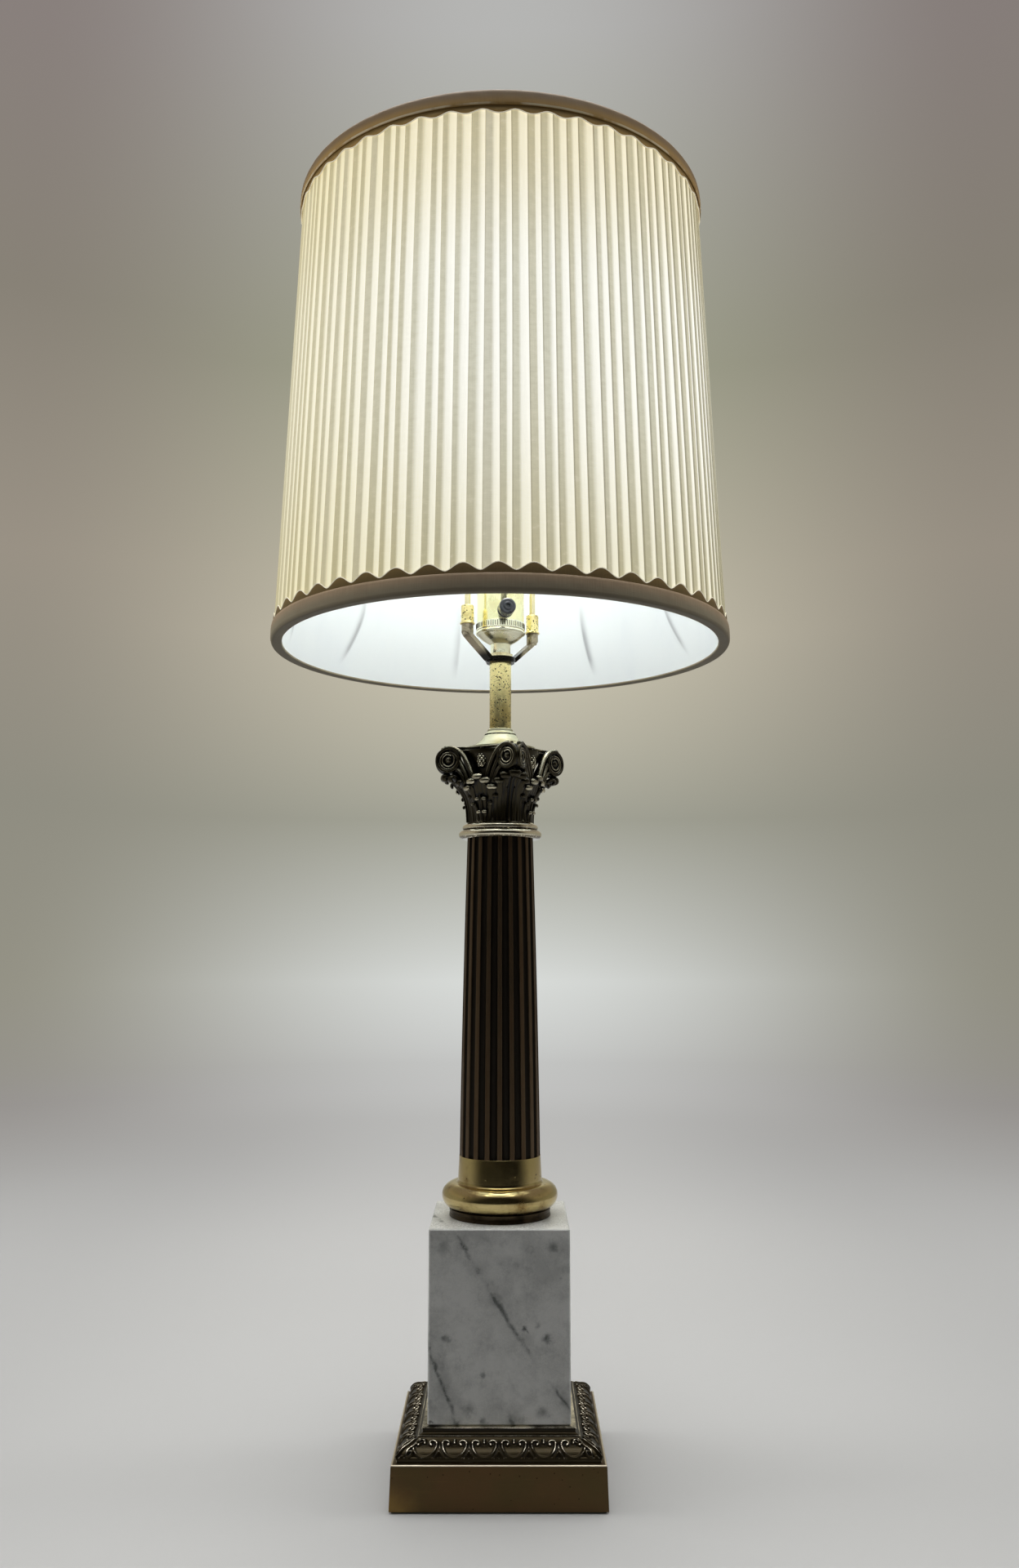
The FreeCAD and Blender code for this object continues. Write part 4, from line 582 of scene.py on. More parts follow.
@dataclass(frozen=True)
class TrimCloth:
    """Satin binding tape or flat braid, with painted shading across its width from rim to edge."""

    name: str
    radius: float
    rim: float
    edge: float
    at_rim: Colour
    at_edge: Colour
    roughness: float = 0.5
    glow: float = 0.0
    # line: colour of a painted highlight along the tape's folded edge.
    line: Colour | None = None

    def material(self) -> Material:
        """Builds the material."""
        f = Finish(self.name)
        around, _, z = f.round_about(self.radius)
        cord = f.threads(around, z, (700, 60))
        pick = f.threads(around, z, (90, 1900))
        cloud = f.noise(30, 4, 0.6)
        dark = tuple(c * 0.55 for c in self.at_edge)
        colour = f.layers(
            self.at_rim,
            (f.ramp_between(z, self.rim, self.edge), self.at_edge),
            (cord * 0.35 + f.ramp_between(cloud, 0.4, 0.75) * 0.25, dark),
        )
        if self.line:
            # Painted highlight: a pale line along the folded edge, broken by noise.
            fold = f.ramp_between(abs(z - self.edge), 0.0009, 0.0004)
            colour = f.mix(fold * f.ramp_between(cloud, 0.62, 0.45), colour, self.line)
        glow = {"Emission Color": colour, "Emission Strength": self.glow} if self.glow else None
        return f.done(colour, self.roughness + pick * 0.15, cord + pick * 0.6, 0.00012, glow)


@dataclass(frozen=True)
class StudioPaper:
    """The plain pale sweep: floor that takes the shadow, backdrop that the camera and metal see."""

    name: str
    floor: Colour
    wall: Stops
    halo: Stops
    dim: float

    def material(self) -> Material:
        """Builds the material. Metal sees the room behind the camera dimmer than the backdrop."""
        f = Finish(self.name)
        x, y, z = f.parts(f.place)
        away = (x * x + y * y) ** 0.5
        outputs = f.outputs(f.node("ShaderNodeLightPath"))
        camera, glossy = (Value(f, outputs[f"Is {kind} Ray"]) for kind in ("Camera", "Glossy"))
        share = (away * 0.5 + z * 0.5) / 4.4
        aside = abs(x)
        # Painted light: a halo of lamplight on the backdrop beside the lamp.
        glow = f.ramp_between(aside / (y + 0.95).at_least(0.2), 0.4, 0)
        tints = (f.node("ShaderNodeValToRGB", {"stops": s}, {0: share}) for s in (self.wall, self.halo))
        front = f.ramp_between(y / away.at_least(0.01) + z * 0.08, 0.1, -0.7)
        power = 1 - glossy * front * (1 - self.dim) - x * 0.012
        lamp = f.node("ShaderNodeEmission", None, {0: f.mix(glow, *tints), 1: power})
        matt = f.layers(
            self.floor,
            # Painted shade: the floor darker towards the sides.
            (f.ramp_between(aside, 0.12, 0.55) * 0.3, (0.25, 0.25, 0.25)),
            (f.noise(3, 3) * 0.06, (0.5, 0.5, 0.5)),
        )
        sockets = {"Base Color": matt, "Roughness": 0.95, "Specular IOR Level": 0.1}
        paper = f.node("ShaderNodeBsdfPrincipled", None, sockets)
        seen = (camera + glossy).at_most(1) * f.ramp_between(away, 0.75, 2.3)
        both = f.node("ShaderNodeMixShader", None, {0: seen, 1: paper, 2: lamp})
        f.node("ShaderNodeOutputMaterial", None, {0: both})
        return f.material


# ---- meshes
@dataclass
class Skin:
    """Points in millimetres, faces and numbers on the points, gathered before they are a mesh."""

    points: list[Array] = field(default_factory=list)
    faces: list[tuple[int, ...]] = field(default_factory=list)
    numbers: dict[str, list[Array]] = field(default_factory=dict)
    count: int = 0

    def add(self, points: Array, faces: Iterable[Sequence[int]], **numbers: Array) -> "Skin":
        """Adds a patch.

        Args:
            points: Its points, one a row.
            faces: Its faces, counted from its own first point.
            numbers: Values on its points, by name. One value is meant for all of them.

        Returns:
            The skin.
        """
        points = np.asarray(points, float).reshape(-1, 3)
        self.faces += [tuple(int(i) + self.count for i in face) for face in faces]
        self.points.append(points)
        for name in set(self.numbers) | set(numbers):
            held = self.numbers.setdefault(name, [np.zeros(self.count)] if self.count else [])
            values = np.asarray(numbers.get(name, 0), float).ravel()
            held.append(np.resize(values, len(points)))
        self.count += len(points)
        return self

    def object(self, name: str, weld: float = 0.0) -> Object:
        """Makes the mesh, in metres, its faces turned outwards."""
        mesh = bpy.data.meshes.new(name)
        mesh.from_pydata((np.concatenate(self.points) * MM).tolist(), [], self.faces)
        for key, held in self.numbers.items():
            layer = mesh.attributes.new(key, "FLOAT", "POINT")
            layer.data.foreach_set("value", np.concatenate(held).astype(np.float32))
        mend(mesh, weld)
        mesh.polygons.foreach_set("use_smooth", [True] * len(mesh.polygons))
        return placed(name, mesh)


def placed(name: str, data: bpy.types.ID) -> Object:
    """A new object of the scene, at the origin."""
    item = bpy.data.objects.new(name, data)
    bpy.context.scene.collection.objects.link(item)
    return item


def mend(mesh: Mesh, weld: float = 0.004) -> None:
    """Joins points closer than weld, in millimetres, and turns the faces outwards."""
    tool = bmesh.new()
    tool.from_mesh(mesh)
    if weld:
        bmesh.ops.remove_doubles(tool, verts=tool.verts, dist=weld * MM)
    bmesh.ops.recalc_face_normals(tool, faces=tool.faces)
    tool.to_mesh(mesh)
    tool.free()


def grid_faces(rows: int, columns: int, closed: bool = False) -> list[tuple[int, ...]]:
    """The quads of a grid of points, row by row. closed joins the last column to the first."""
    faces = []
    for first in range(0, (rows - 1) * columns, columns):
        for j in range(columns if closed else columns - 1):
            after = first + (j + 1) % columns
            faces.append((first + j, after, columns + after, columns + first + j))
    return faces


def fan_faces(first: int, sides: int, middle: int) -> list[tuple[int, ...]]:
    """The triangles between a ring of points and a point at its middle."""
    return [(first + j, first + (j + 1) % sides, middle) for j in range(sides)]


def unit(values: Array) -> Array:
    """The values kept between 0 and 1."""
    return np.clip(values, 0, 1)


def about(reach: Setting, turn: Array, z: Setting) -> Array:
    """Points at distances from the axis, turns in radians and heights, in their common grid."""
    return np.stack(np.broadcast_arrays(reach * np.cos(turn), reach * np.sin(turn), z), -1)


def rounded(points: Rows, steps: int = 4) -> list[Point]:
    """A profile whose corners are rounded.

    Args:
        points: (radius, height) or (radius, height, corner radius).
        steps: Points to a corner.

    Returns:
        The profile with an arc of points at each corner that has a radius.
    """
    made: list[Point] = []
    for i, entry in enumerate(points):
        here = np.array(entry[:2], float)
        size = entry[2] if len(entry) > 2 else 0
        if not size or i in (0, len(points) - 1):
            made.append(tuple(here))
            continue
        ways = [np.array(points[k][:2], float) - here for k in (i - 1, i + 1)]
        long = [np.linalg.norm(way) for way in ways]
        reach = min(size, long[0] * 0.49, long[1] * 0.49)
        start, end = (here + way / length * reach for way, length in zip(ways, long))
        for t in (k / steps for k in range(steps + 1)):
            made.append(tuple(start * (1 - t) ** 2 + here * 2 * t * (1 - t) + end * t**2))
    return made


def arc(centre: Point, radius: float, start: float, end: float, steps: int = 12) -> list[Point]:
    """Points on an arc in the (radius, height) plane, with angles in degrees."""
    turns = np.radians(np.linspace(start, end, steps + 1))
    return [(centre[0] + radius * cos(t), centre[1] + radius * sin(t)) for t in turns]


def through(start: Point, via: Point, end: Point, steps: int = 24) -> list[Point]:
    """Points on the arc through three points."""
    a, b, c = (complex(*p) for p in (start, via, end))
    w = (c - a) / (b - a)
    centre = a - (a - b) * (w - abs(w) ** 2) / (2j * w.imag)
    turns = [atan2((p - centre).imag, (p - centre).real) for p in (a, b, c)]
    sweep = [(t - turns[0] + pi) % (2 * pi) - pi for t in turns]
    total = sweep[2] if sweep[1] * sweep[2] > 0 else sweep[2] - copysign(2 * pi, sweep[2])
    radius = abs(a - centre)
    angles = [turns[0] + total * i / steps for i in range(steps + 1)]
    return [(centre.real + radius * cos(t), centre.imag + radius * sin(t)) for t in angles]


def turned(profile: Sequence[Point], segments: int = 96, closed: bool = False) -> Skin:
    """A turned piece.

    Args:
        profile: (radius, height) from one end to the other. A radius of 0 makes a pole.
        segments: Sides round the axis.
        closed: True joins the last profile point to the first, as in a ring.

    Returns:
        The skin, with its poles closed.
    """
    angles = np.arange(segments) * 2 * pi / segments
    rings = [p for p in profile if p[0] > 1e-6]
    rings += rings[:1] if closed else []
    points = [(r * cos(a), r * sin(a), z) for r, z in rings for a in angles]
    faces = grid_faces(len(rings), segments, True)
    for pole, first in ((profile[0], 0), (profile[-1], (len(rings) - 1) * segments)):
        if pole[0] <= 1e-6:
            points.append((0, 0, pole[1]))
            faces += fan_faces(first, segments, len(points) - 1)
    return Skin().add(points, faces)


def place_skin(skin: Skin, matrix: Array, shift: Sequence[float]) -> Skin:
    """Turns and moves a skin's points."""
    skin.points = [p @ matrix.T + np.array(shift) for p in skin.points]
    return skin


def turn_z(degrees: float) -> Array:
    """The matrix of a turn about the lamp's axis."""
    c, s = cos(radians(degrees)), sin(radians(degrees))
    return np.array([[c, -s, 0], [s, c, 0], [0, 0, 1]])


def settle(item: Object, body: Body, material: Material, slot: str, *nodes: str) -> Object:
    """Dresses a finished piece, which rides on a body and stands for the named solids."""
    item.data.materials.clear()
    item.data.materials.append(material)
    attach(item, body.value)
    if nodes:
        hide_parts(*nodes)
    LOG.info("%-22s %7d faces", item.name, len(item.data.polygons))
    return item


def sharpen(item: Object, degrees: float = 35.0) -> Object:
    """Marks edges sharper than an angle, so that smooth shading stops there."""
    item.data.set_sharp_from_angle(angle=radians(degrees))
    return item


def numbers_of(items: Sequence, name: str, width: int, kind: type = float) -> Array:
    """One property of every vertex or edge, a row each."""
    values = np.zeros(len(items) * width, kind)
    items.foreach_get(name, values)
    return values.reshape(-1, width)


def weather(item: Object, reach: float, same: Array, rays: int = 18) -> None:
    """Gives a carved mesh its hollow and ridge numbers.

    Args:
        item: The mesh, with its faces outwards.
        reach: How far away, in millimetres, a wall still darkens a point.
        same: For each point the point that stands for it, where a pattern repeats.
        rays: Directions tried at each point.
    """
    mesh = item.data
    count = len(mesh.vertices)
    places, normals = (numbers_of(mesh.vertices, name, 3) for name in ("co", "normal"))
    tree = BVHTree.FromPolygons([Vector(p) for p in places], [tuple(p.vertices) for p in mesh.polygons])
    k = np.arange(rays) + 0.5
    up = 1 - k / rays * 0.85
    side = np.sqrt(1 - up**2)
    fan = [Vector(way) for way in about(side, k * GOLDEN_TURN, up)]
    hits = np.zeros(count)
    for i in np.unique(same):
        normal = Vector(normals[i])
        if normal.length < 0.5:
            continue
        lift = normal.to_track_quat("Z", "Y").to_matrix()
        start = Vector(places[i]) + normal * 0.00008
        hits[i] = sum(tree.ray_cast(start, lift @ way, reach * MM)[0] is not None for way in fan) / rays
    edges = numbers_of(mesh.edges, "vertices", 2, int)
    bulge, weight = np.zeros(count), np.zeros(count)
    for a, b in ((0, 1), (1, 0)):
        step = places[edges[:, b]] - places[edges[:, a]]
        size = np.maximum(np.linalg.norm(step, axis=1), 1e-9)
        np.add.at(bulge, edges[:, a], -(step * normals[edges[:, a]]).sum(1) / size)
        np.add.at(weight, edges[:, a], 1)
    bulge = (bulge / np.maximum(weight, 1))[same]
    hits = hits[same]
    for _ in range(2):
        for values in (bulge, hits):
            total = np.zeros(count)
            np.add.at(total, edges[:, 0], values[edges[:, 1]])
            np.add.at(total, edges[:, 1], values[edges[:, 0]])
            values += 0.5 * (total / np.maximum(weight, 1) - values)
    rub = numbers_of(mesh.attributes["rub"].data, "value", 1)[:, 0]
    hollow = (hits * 1.5 - bulge * 1.2) * unit(2 - rub)
    # Rubbed wear and painted highlight: convex parts are painted bright, and a rub above 1 paints the whole
    # part bright.
    ridge = (0.22 + bulge * 2.6 - hits * 0.8) * rub + np.maximum(rub - 1, 0) * 0.5
    for name, values in (("hollow", hollow), ("ridge", ridge)):
        layer = mesh.attributes.new(name, "FLOAT", "POINT")
        layer.data.foreach_set("value", unit(values).astype(np.float32))


def swept(
    skin: Skin,
    path: Array,
    aside: Array,
    widths: Array,
    depths: Array,
    section: Section,
    rub: float = 1,
) -> None:
    """Adds a closed section drawn along a path, with both ends closed.

    Args:
        skin: What it is added to.
        path: The path's points.
        aside: At each of them the unit direction of the section's width.
        widths: Half widths.
        depths: Thicknesses, at a right angle to the path and the width.
        section: The closed section.
        rub: How bright it is painted, as rubbed wear and painted highlight. 1 brightens the ridges, more the
            hollows too.
    """
    outward = np.cross(aside, np.gradient(path, axis=0))
    outward /= np.maximum(np.linalg.norm(outward, axis=1), 1e-9)[:, None]
    shape = np.array(section.value)
    points = (
        path[:, None]
        + aside[:, None] * (widths[:, None] * shape[None, :, 0])[..., None]
        + outward[:, None] * (depths[:, None] * shape[None, :, 1])[..., None]
    )
    rows, sides = points.shape[:2]
    faces = grid_faces(rows, sides, True)
    last = (rows - 1) * sides
    for j in range(sides):
        after = (j + 1) % sides
        faces += [(after, j, rows * sides), (last + j, last + after, rows * sides + 1)]
    ends = np.array([points[0].mean(0), points[-1].mean(0)])
    skin.add(np.concatenate([points.reshape(-1, 3), ends]), faces, rub=rub)


def repeated(skin: Skin, times: int, turn: float) -> tuple[Skin, Array]:
    """A skin repeated round the lamp's axis.

    Args:
        skin: The part that is repeated.
        times: How many there are.
        turn: The first one's turn in degrees.

    Returns:
        The whole, and for each point the point of the first part that stands for it.
    """
    points = np.concatenate(skin.points)
    numbers = {name: np.concatenate(held) for name, held in skin.numbers.items()}
    whole = Skin()
    for i in range(times):
        whole.add(points @ turn_z(turn + 360 * i / times).T, skin.faces, **numbers)
    return whole, np.tile(np.arange(len(points)), times)


def baked(item: Object, modifier: bpy.types.Modifier) -> None:
    """Keeps a modifier's result as the piece's plain mesh and removes the modifier."""
    bpy.context.view_layer.update()
    view = bpy.context.evaluated_depsgraph_get()
    mesh = bpy.data.meshes.new_from_object(item.evaluated_get(view), depsgraph=view)
    item.modifiers.remove(modifier)
    old, item.data = item.data, mesh
    bpy.data.meshes.remove(old)
    mesh.name = item.name


def cut(item: Object, tool: Object) -> None:
    """Cuts one mesh out of another and throws the cutter away."""
    modifier = item.modifiers.new("cut", "BOOLEAN")
    modifier.operation = "DIFFERENCE"
    modifier.solver = "EXACT"
    modifier.object = tool
    baked(item, modifier)
    bpy.data.objects.remove(tool)


def ring_piece(name: str, node: str, material: Material, slot: str, profile: Rows) -> Object:
    """A turned ring of the lamp's body that takes the place of its solid."""
    item = sharpen(turned(rounded(profile), 160, True).object(name), 32)
    return settle(item, Body.LAMP, material, slot, node)


# ---- the studio
@dataclass
class Studio:
    """Camera, floor, backdrop and lamps."""

    eye: tuple[float, float, float] = (0.00683, -0.95098, 0.36509)
    aim: tuple[float, float, float] = (0, 0, 0.42)
    pitch: float = 96.86
    lens: float = 29.78
    lamps: tuple[tuple[str, tuple[float, float, float], float, float], ...] = (
        ("overhead_box", (0, 0, 2.3), 1.5, 26),
        ("left_box", (-1.7, 0.1, 1.1), 0.8, 9),
        ("right_box", (1.8, 0.2, 1.3), 0.6, 7),
    )

    def camera(self) -> None:
        """Places the camera at the photograph's viewing angle."""
        data = bpy.data.cameras.new("camera")
        data.lens = self.lens
        data.sensor_width = 36
        data.clip_start = 0.02
        item = placed("camera", data)
        item.location = self.eye
        item.rotation_euler = (radians(self.pitch), 0, 0)
        bpy.context.scene.camera = item

    def sweep(self) -> None:
        """Builds the round paper sweep, which daylight passes and shadows fall on."""
        wall = arc((2900, 1400), 1400, -90, 0, 24)
        profile = [(0, 0), (400, 0), (1200, 0)] + wall + [(4300, 7000)]
        item = turned(profile, 128).object("studio_sweep")
        item.data.flip_normals()
        edges = (
            (0.08, (0.48, 0.475, 0.46)), (0.16, (0.36, 0.345, 0.33)), (0.26, (0.305, 0.29, 0.275)),
            (0.44, (0.29, 0.28, 0.23)), (0.58, (0.27, 0.26, 0.215)), (0.7, (0.312, 0.277, 0.228)),
            (0.82, (0.24, 0.217, 0.18)), (0.95, (0.243, 0.211, 0.198)),
        )
        middle = (
            (0.08, (0.6, 0.6, 0.59)), (0.2, (0.52, 0.52, 0.51)), (0.34, (0.545, 0.55, 0.54)),
            (0.44, (0.68, 0.7, 0.68)), (0.57, (0.36, 0.36, 0.3)), (0.67, (0.6, 0.56, 0.44)),
            (0.8, (0.36, 0.37, 0.27)), (0.98, (0.46, 0.46, 0.45)),
        )
        paper = StudioPaper("studio_paper", (0.555, 0.555, 0.545), edges, middle, 0.06)
        item.data.materials.append(paper.material())
        item.visible_shadow = False
        item.visible_diffuse = False

    def lamp(self, name: str, place: tuple[float, float, float], size: float, power: float) -> None:
        """Adds a square soft box that faces the column. Metal doesn't mirror those at the sides."""
        data = bpy.data.lights.new(name, "AREA")
        data.shape = "SQUARE"
        data.size = size
        data.energy = power
        item = placed(name, data)
        item.location = place
        item.rotation_euler = (Vector(self.aim) - Vector(place)).to_track_quat("-Z", "Y").to_euler()
        item.visible_glossy = abs(place[0]) < 1

    def world(self) -> None:
        """A grey studio room: paler overhead, dimmer behind the camera."""
        world = bpy.data.worlds.new("studio_room")
        bpy.context.scene.world = world
        world.use_nodes = True
        g = Graph(world.node_tree)
        _, y, z = g.parts(g.node("ShaderNodeTexCoord", None, None, "Generated"))
        share = g.ramp_between(z * 0.75 + y * 0.35, -0.5, 1)
        stops = ((0, (0.09, 0.09, 0.095)), (0.5, (0.15, 0.15, 0.15)), (1, (0.8, 0.79, 0.77)))
        tint = g.node("ShaderNodeValToRGB", {"stops": stops}, {0: share})
        back = g.node("ShaderNodeBackground", None, {0: tint, 1: 1})
        g.node("ShaderNodeOutputWorld", None, {0: back})

    def build(self) -> None:
        """Builds everything that isn't part of the lamp."""
        bpy.context.scene.view_settings.view_transform = "Standard"
        self.camera()
        self.sweep()
        self.world()
        for lamp in self.lamps:
            self.lamp(*lamp)


# ---- the base
def ridge(away: Array, width: float, height: float) -> Array:
    """The height of a rounded ridge at distances from its middle line."""
    return height * unit(1 - (away / width) ** 2) ** 0.7


def nearest(x: Array, y: Array, line: Sequence[Point]) -> Array:
    """Each place's distance from a drawn line."""
    best = np.full(x.shape, 1e9)
    for (x0, y0), (x1, y1) in zip(line[:-1], line[1:]):
        dx, dy = x1 - x0, y1 - y0
        share = unit(((x - x0) * dx + (y - y0) * dy) / (dx * dx + dy * dy + 1e-9))
        best = np.minimum(best, np.hypot(x - x0 - share * dx, y - y0 - share * dy))
    return best


@dataclass
class SquareBase:
    """Cast base: a plain square skirt below an ogee carved with leaves and darts."""

    low: float = 1.2
    foot_half: float = 70.7
    skirt_half: float = 69.8
    skirt_top: float = 29.1
    fillet_half: float = 66.4
    cyma: tuple[Point, ...] = (
        (66.4, 31.8), (64.05, 35.3), (59.9, 37.7), (56.15, 39.2), (53.4, 40.8), (53.4, 41.6)
    )
    neck_half: float = 50.4
    platform_half: float = 51.0
    top: float = 45.8
    wall: float = 4.0
    centres: tuple[float, ...] = (-48.2, -28.9, -9.6, 9.6, 28.9, 48.2)
    darts: tuple[float, ...] = (-38.55, -19.25, 0, 19.25, 38.55)
    hole: float = 4.78
    spot: float = 7.5
    hole_height: float = 14.0
    columns: int = 288

    def ogee(self, count: int) -> tuple[Array, Array]:
        """The ogee's even points as (half width, height), and their distances from its foot."""
        line = np.array(through(*self.cyma[0:3])[:-1] + through(*self.cyma[2:5]) + [self.cyma[5]])
        run = np.concatenate([[0], np.cumsum(np.linalg.norm(np.diff(line, axis=0), axis=1))])
        even = np.linspace(0, run[-1], count)
        return np.stack([np.interp(even, run, line[:, 0]), np.interp(even, run, line[:, 1])], 1), even

    def corner_leaf(self, corner: Array, s: Array) -> tuple[Array, Array]:
        """The leaf over the mitre, by the distance from it and up the ogee, and where its edge is."""
        bend = 5.4 - 1.5 * unit((s - 3) / 11) + 0.5 * np.sin(s * 0.9)
        edge = ridge(corner - bend, 0.9, 1.25) * unit((s - 1.4) / 1.2)
        curls = [
            ridge(np.abs(np.hypot(corner - across, s - up) - radius), width, tall) * (corner > bend)
            for across, up, radius, width, tall in ((6.9, 3, 1.7, 0.7, 1.3), (6.4, 11.6, 1.9, 0.8, 1.4))
        ]
        veins = 0.35 * np.sin((s * 1.1 + corner * 1.3) * 2.1) * (corner < bend) * (corner > 0.9)
        beads = ridge(np.hypot(corner - 2.6, s - 1), 1.1, 1.3)
        rib = ridge(corner, 1.3, 1.2)
        return np.maximum.reduce([rib, edge, *curls, beads, veins - 0.35 * (corner < bend)]), bend

    def relief(self, t: Array, s: Array, half: float) -> Array:
        """How far the carving stands out.

        Args:
            t: Places along the side, from its middle.
            s: Distances up the ogee.
            half: Half the side's length.

        Returns:
            Heights in millimetres.
        """
        height = np.zeros(t.shape)
        corner = half - np.abs(t)
        bowl = [(7.7 * sin(a), 9.4 - 8.5 * cos(a)) for a in np.linspace(0, pi / 2, 12)]
        hook = [(5.5 + 2.25 * cos(a), 10.5 + 2.25 * sin(a)) for a in np.linspace(0, 4.1, 14)]
        dart = ((3.1, 0.6), (1.5, 2.6), (0, 4.9))
        clear = unit((corner - 5.2) / 1.2)
        for centre in self.centres:
            x = np.abs(t - centre)
            inside = unit(1 - (x / 7) ** 2 - ((s - 9) / 8) ** 2)
            made = np.maximum.reduce([
                -0.9 * inside**0.6,
                ridge(nearest(x, s, bowl), 0.85, 1) - 0.05,
                ridge(nearest(x, s, hook), 0.95, 1.5),
                ridge(np.hypot(x - 3.9, s - 9.4), 1.35, 1.7),
                ridge(np.hypot(x, np.maximum(np.abs(s - 12) - 1.5, 0)), 0.95, 1.5),
                ridge(x + np.abs(s - 6.5) * 0.08, 0.7, 0.35) - 0.5,
            ])
            height = np.where((x < 10.5) & (np.abs(made) > 1e-6), made * clear, height)
        for centre in self.darts:
            x = np.abs(t - centre)
            made = np.maximum.reduce([
                ridge(nearest(x, s, dart), 0.7, 0.85),
                ridge(np.hypot(x, np.maximum(np.abs(s - 3) - 2.6, 0)), 0.55, 0.55),
                ridge(x + np.abs(s - 8) * 0.12, 0.75, 0.6),
            ])
            height = np.maximum(height, made * (x < 4.5))
        leaf, bend = self.corner_leaf(corner, s)
        height = np.where((corner < bend + 0.9) | (np.abs(leaf) > 0.4) & (corner < 10), leaf, height)
        fade = unit((s + 0.2) / 0.8) * unit((15.2 - s) / 1)
        return height * fade + ridge(s - 0.35, 0.55, 0.4)

    def sides(self, profile: Iterable[tuple[Setting, Setting]], columns: int) -> Array:
        """The points of a square moulding, row by row, from its half widths and heights."""
        share = np.linspace(-1, 1, columns, endpoint=False)
        rows = []
        for half, height in profile:
            side, rise = np.resize(half, columns), np.resize(height, columns)
            place = np.stack([share * side, -side, rise], 1)
            rows.append(np.concatenate([place @ turn_z(90 * quarter).T for quarter in range(4)]))
        return np.array(rows)

    def moulding(self) -> None:
        """The carved ogee with the fillet below it and the platform above."""
        ogee, run = self.ogee(42)
        tangent = np.gradient(ogee, axis=0)
        normal = np.stack([tangent[:, 1], -tangent[:, 0]], 1)
        normal /= np.linalg.norm(normal, axis=1)[:, None]
        fillet, neck, top = self.fillet_half, self.neck_half, self.platform_half
        below = rounded([(60.5, 29.3), (fillet, 29.3), (fillet, 31.5, 0.3), tuple(ogee[0])], 3)
        above = rounded(
            [tuple(ogee[-1]), (neck + 1.6, 42, 1.2), (neck, 42.8, 0.8), (neck, 45.1), (top, 45.1, 0.15),
             (top, self.top, 0.25), (6, self.top), (6, 39.8), (46.4, 39.8), (46.4, 33), (60.5, 29.3)],
            3,
        )
        share = np.linspace(-1, 1, self.columns, endpoint=False)
        carved = []
        for (half, height), way, s in zip(ogee, normal, run):
            out = self.relief(share * half, np.full(share.shape, s), half)
            carved.append((half + out * way[0], height + out * way[1]))
        rows = self.sides([*below[:-1], *carved, *above[1:]], self.columns)
        # Painted highlight: the rub grows towards the top, so that the upper hooks are painted brightest.
        high = unit((rows[..., 2] - 34) / 4) * 0.45 + 0.62
        skin = Skin().add(rows, grid_faces(len(rows), rows.shape[1], True), rub=high)
        item = skin.object("base_moulding")
        ids = np.arange(rows.shape[0] * rows.shape[1]).reshape(rows.shape[:2])
        weather(item, 1.7, ids[:, np.arange(rows.shape[1]) % self.columns].ravel())
        mend(item.data)
        sharpen(item, 62)
        brass = CarvedBrass(
            "carved_base_brass", (0.95, 0.88, 0.71), (0.034, 0.026, 0.013), (0.004, 0.003, 0.002),
            (0.45, 0.78), 0.22, 0.1,
        )
        settle(item, Body.LAMP, brass.material(), "antique_brass", "base_casting")

    def skirt(self) -> None:
        """The plain skirt, hollow below, with the cord's hole at the back."""
        inner = self.skirt_half - self.wall
        profile = rounded(
            [(inner, self.low), (self.foot_half, self.low, 0.3), (self.skirt_half, self.skirt_top, 0.8),
             (self.fillet_half + 0.2, 29.64), (60, 29.64), (60, 25.1), (inner, 25.1), (inner, self.low)],
            5,
        )
        rows = self.sides(profile, 16)
        item = Skin().add(rows, grid_faces(len(rows), rows.shape[1], True)).object("base_skirt")
        mend(item.data)
        face = self.foot_half - (self.foot_half - self.skirt_half) * 0.72 - 0.3
        back = np.array([[1, 0, 0], [0, 0, 1], [0, -1, 0]])
        for radius, start in ((self.spot, face), (self.hole, 50)):
            drill = turned([(0, start), (radius, start), (radius, 80), (0, 80)], 48)
            cut(item, place_skin(drill, back, (0, 0, self.hole_height)).object("drill"))
        sharpen(item, 30)
        finish = SkirtBrass("skirt_brass", self.skirt_half * MM, self.skirt_top * MM)
        settle(item, Body.LAMP, finish.material(), "antique_brass", "base_casting")

    def build(self) -> None:
        """Builds the base."""
        self.skirt()
        self.moulding()


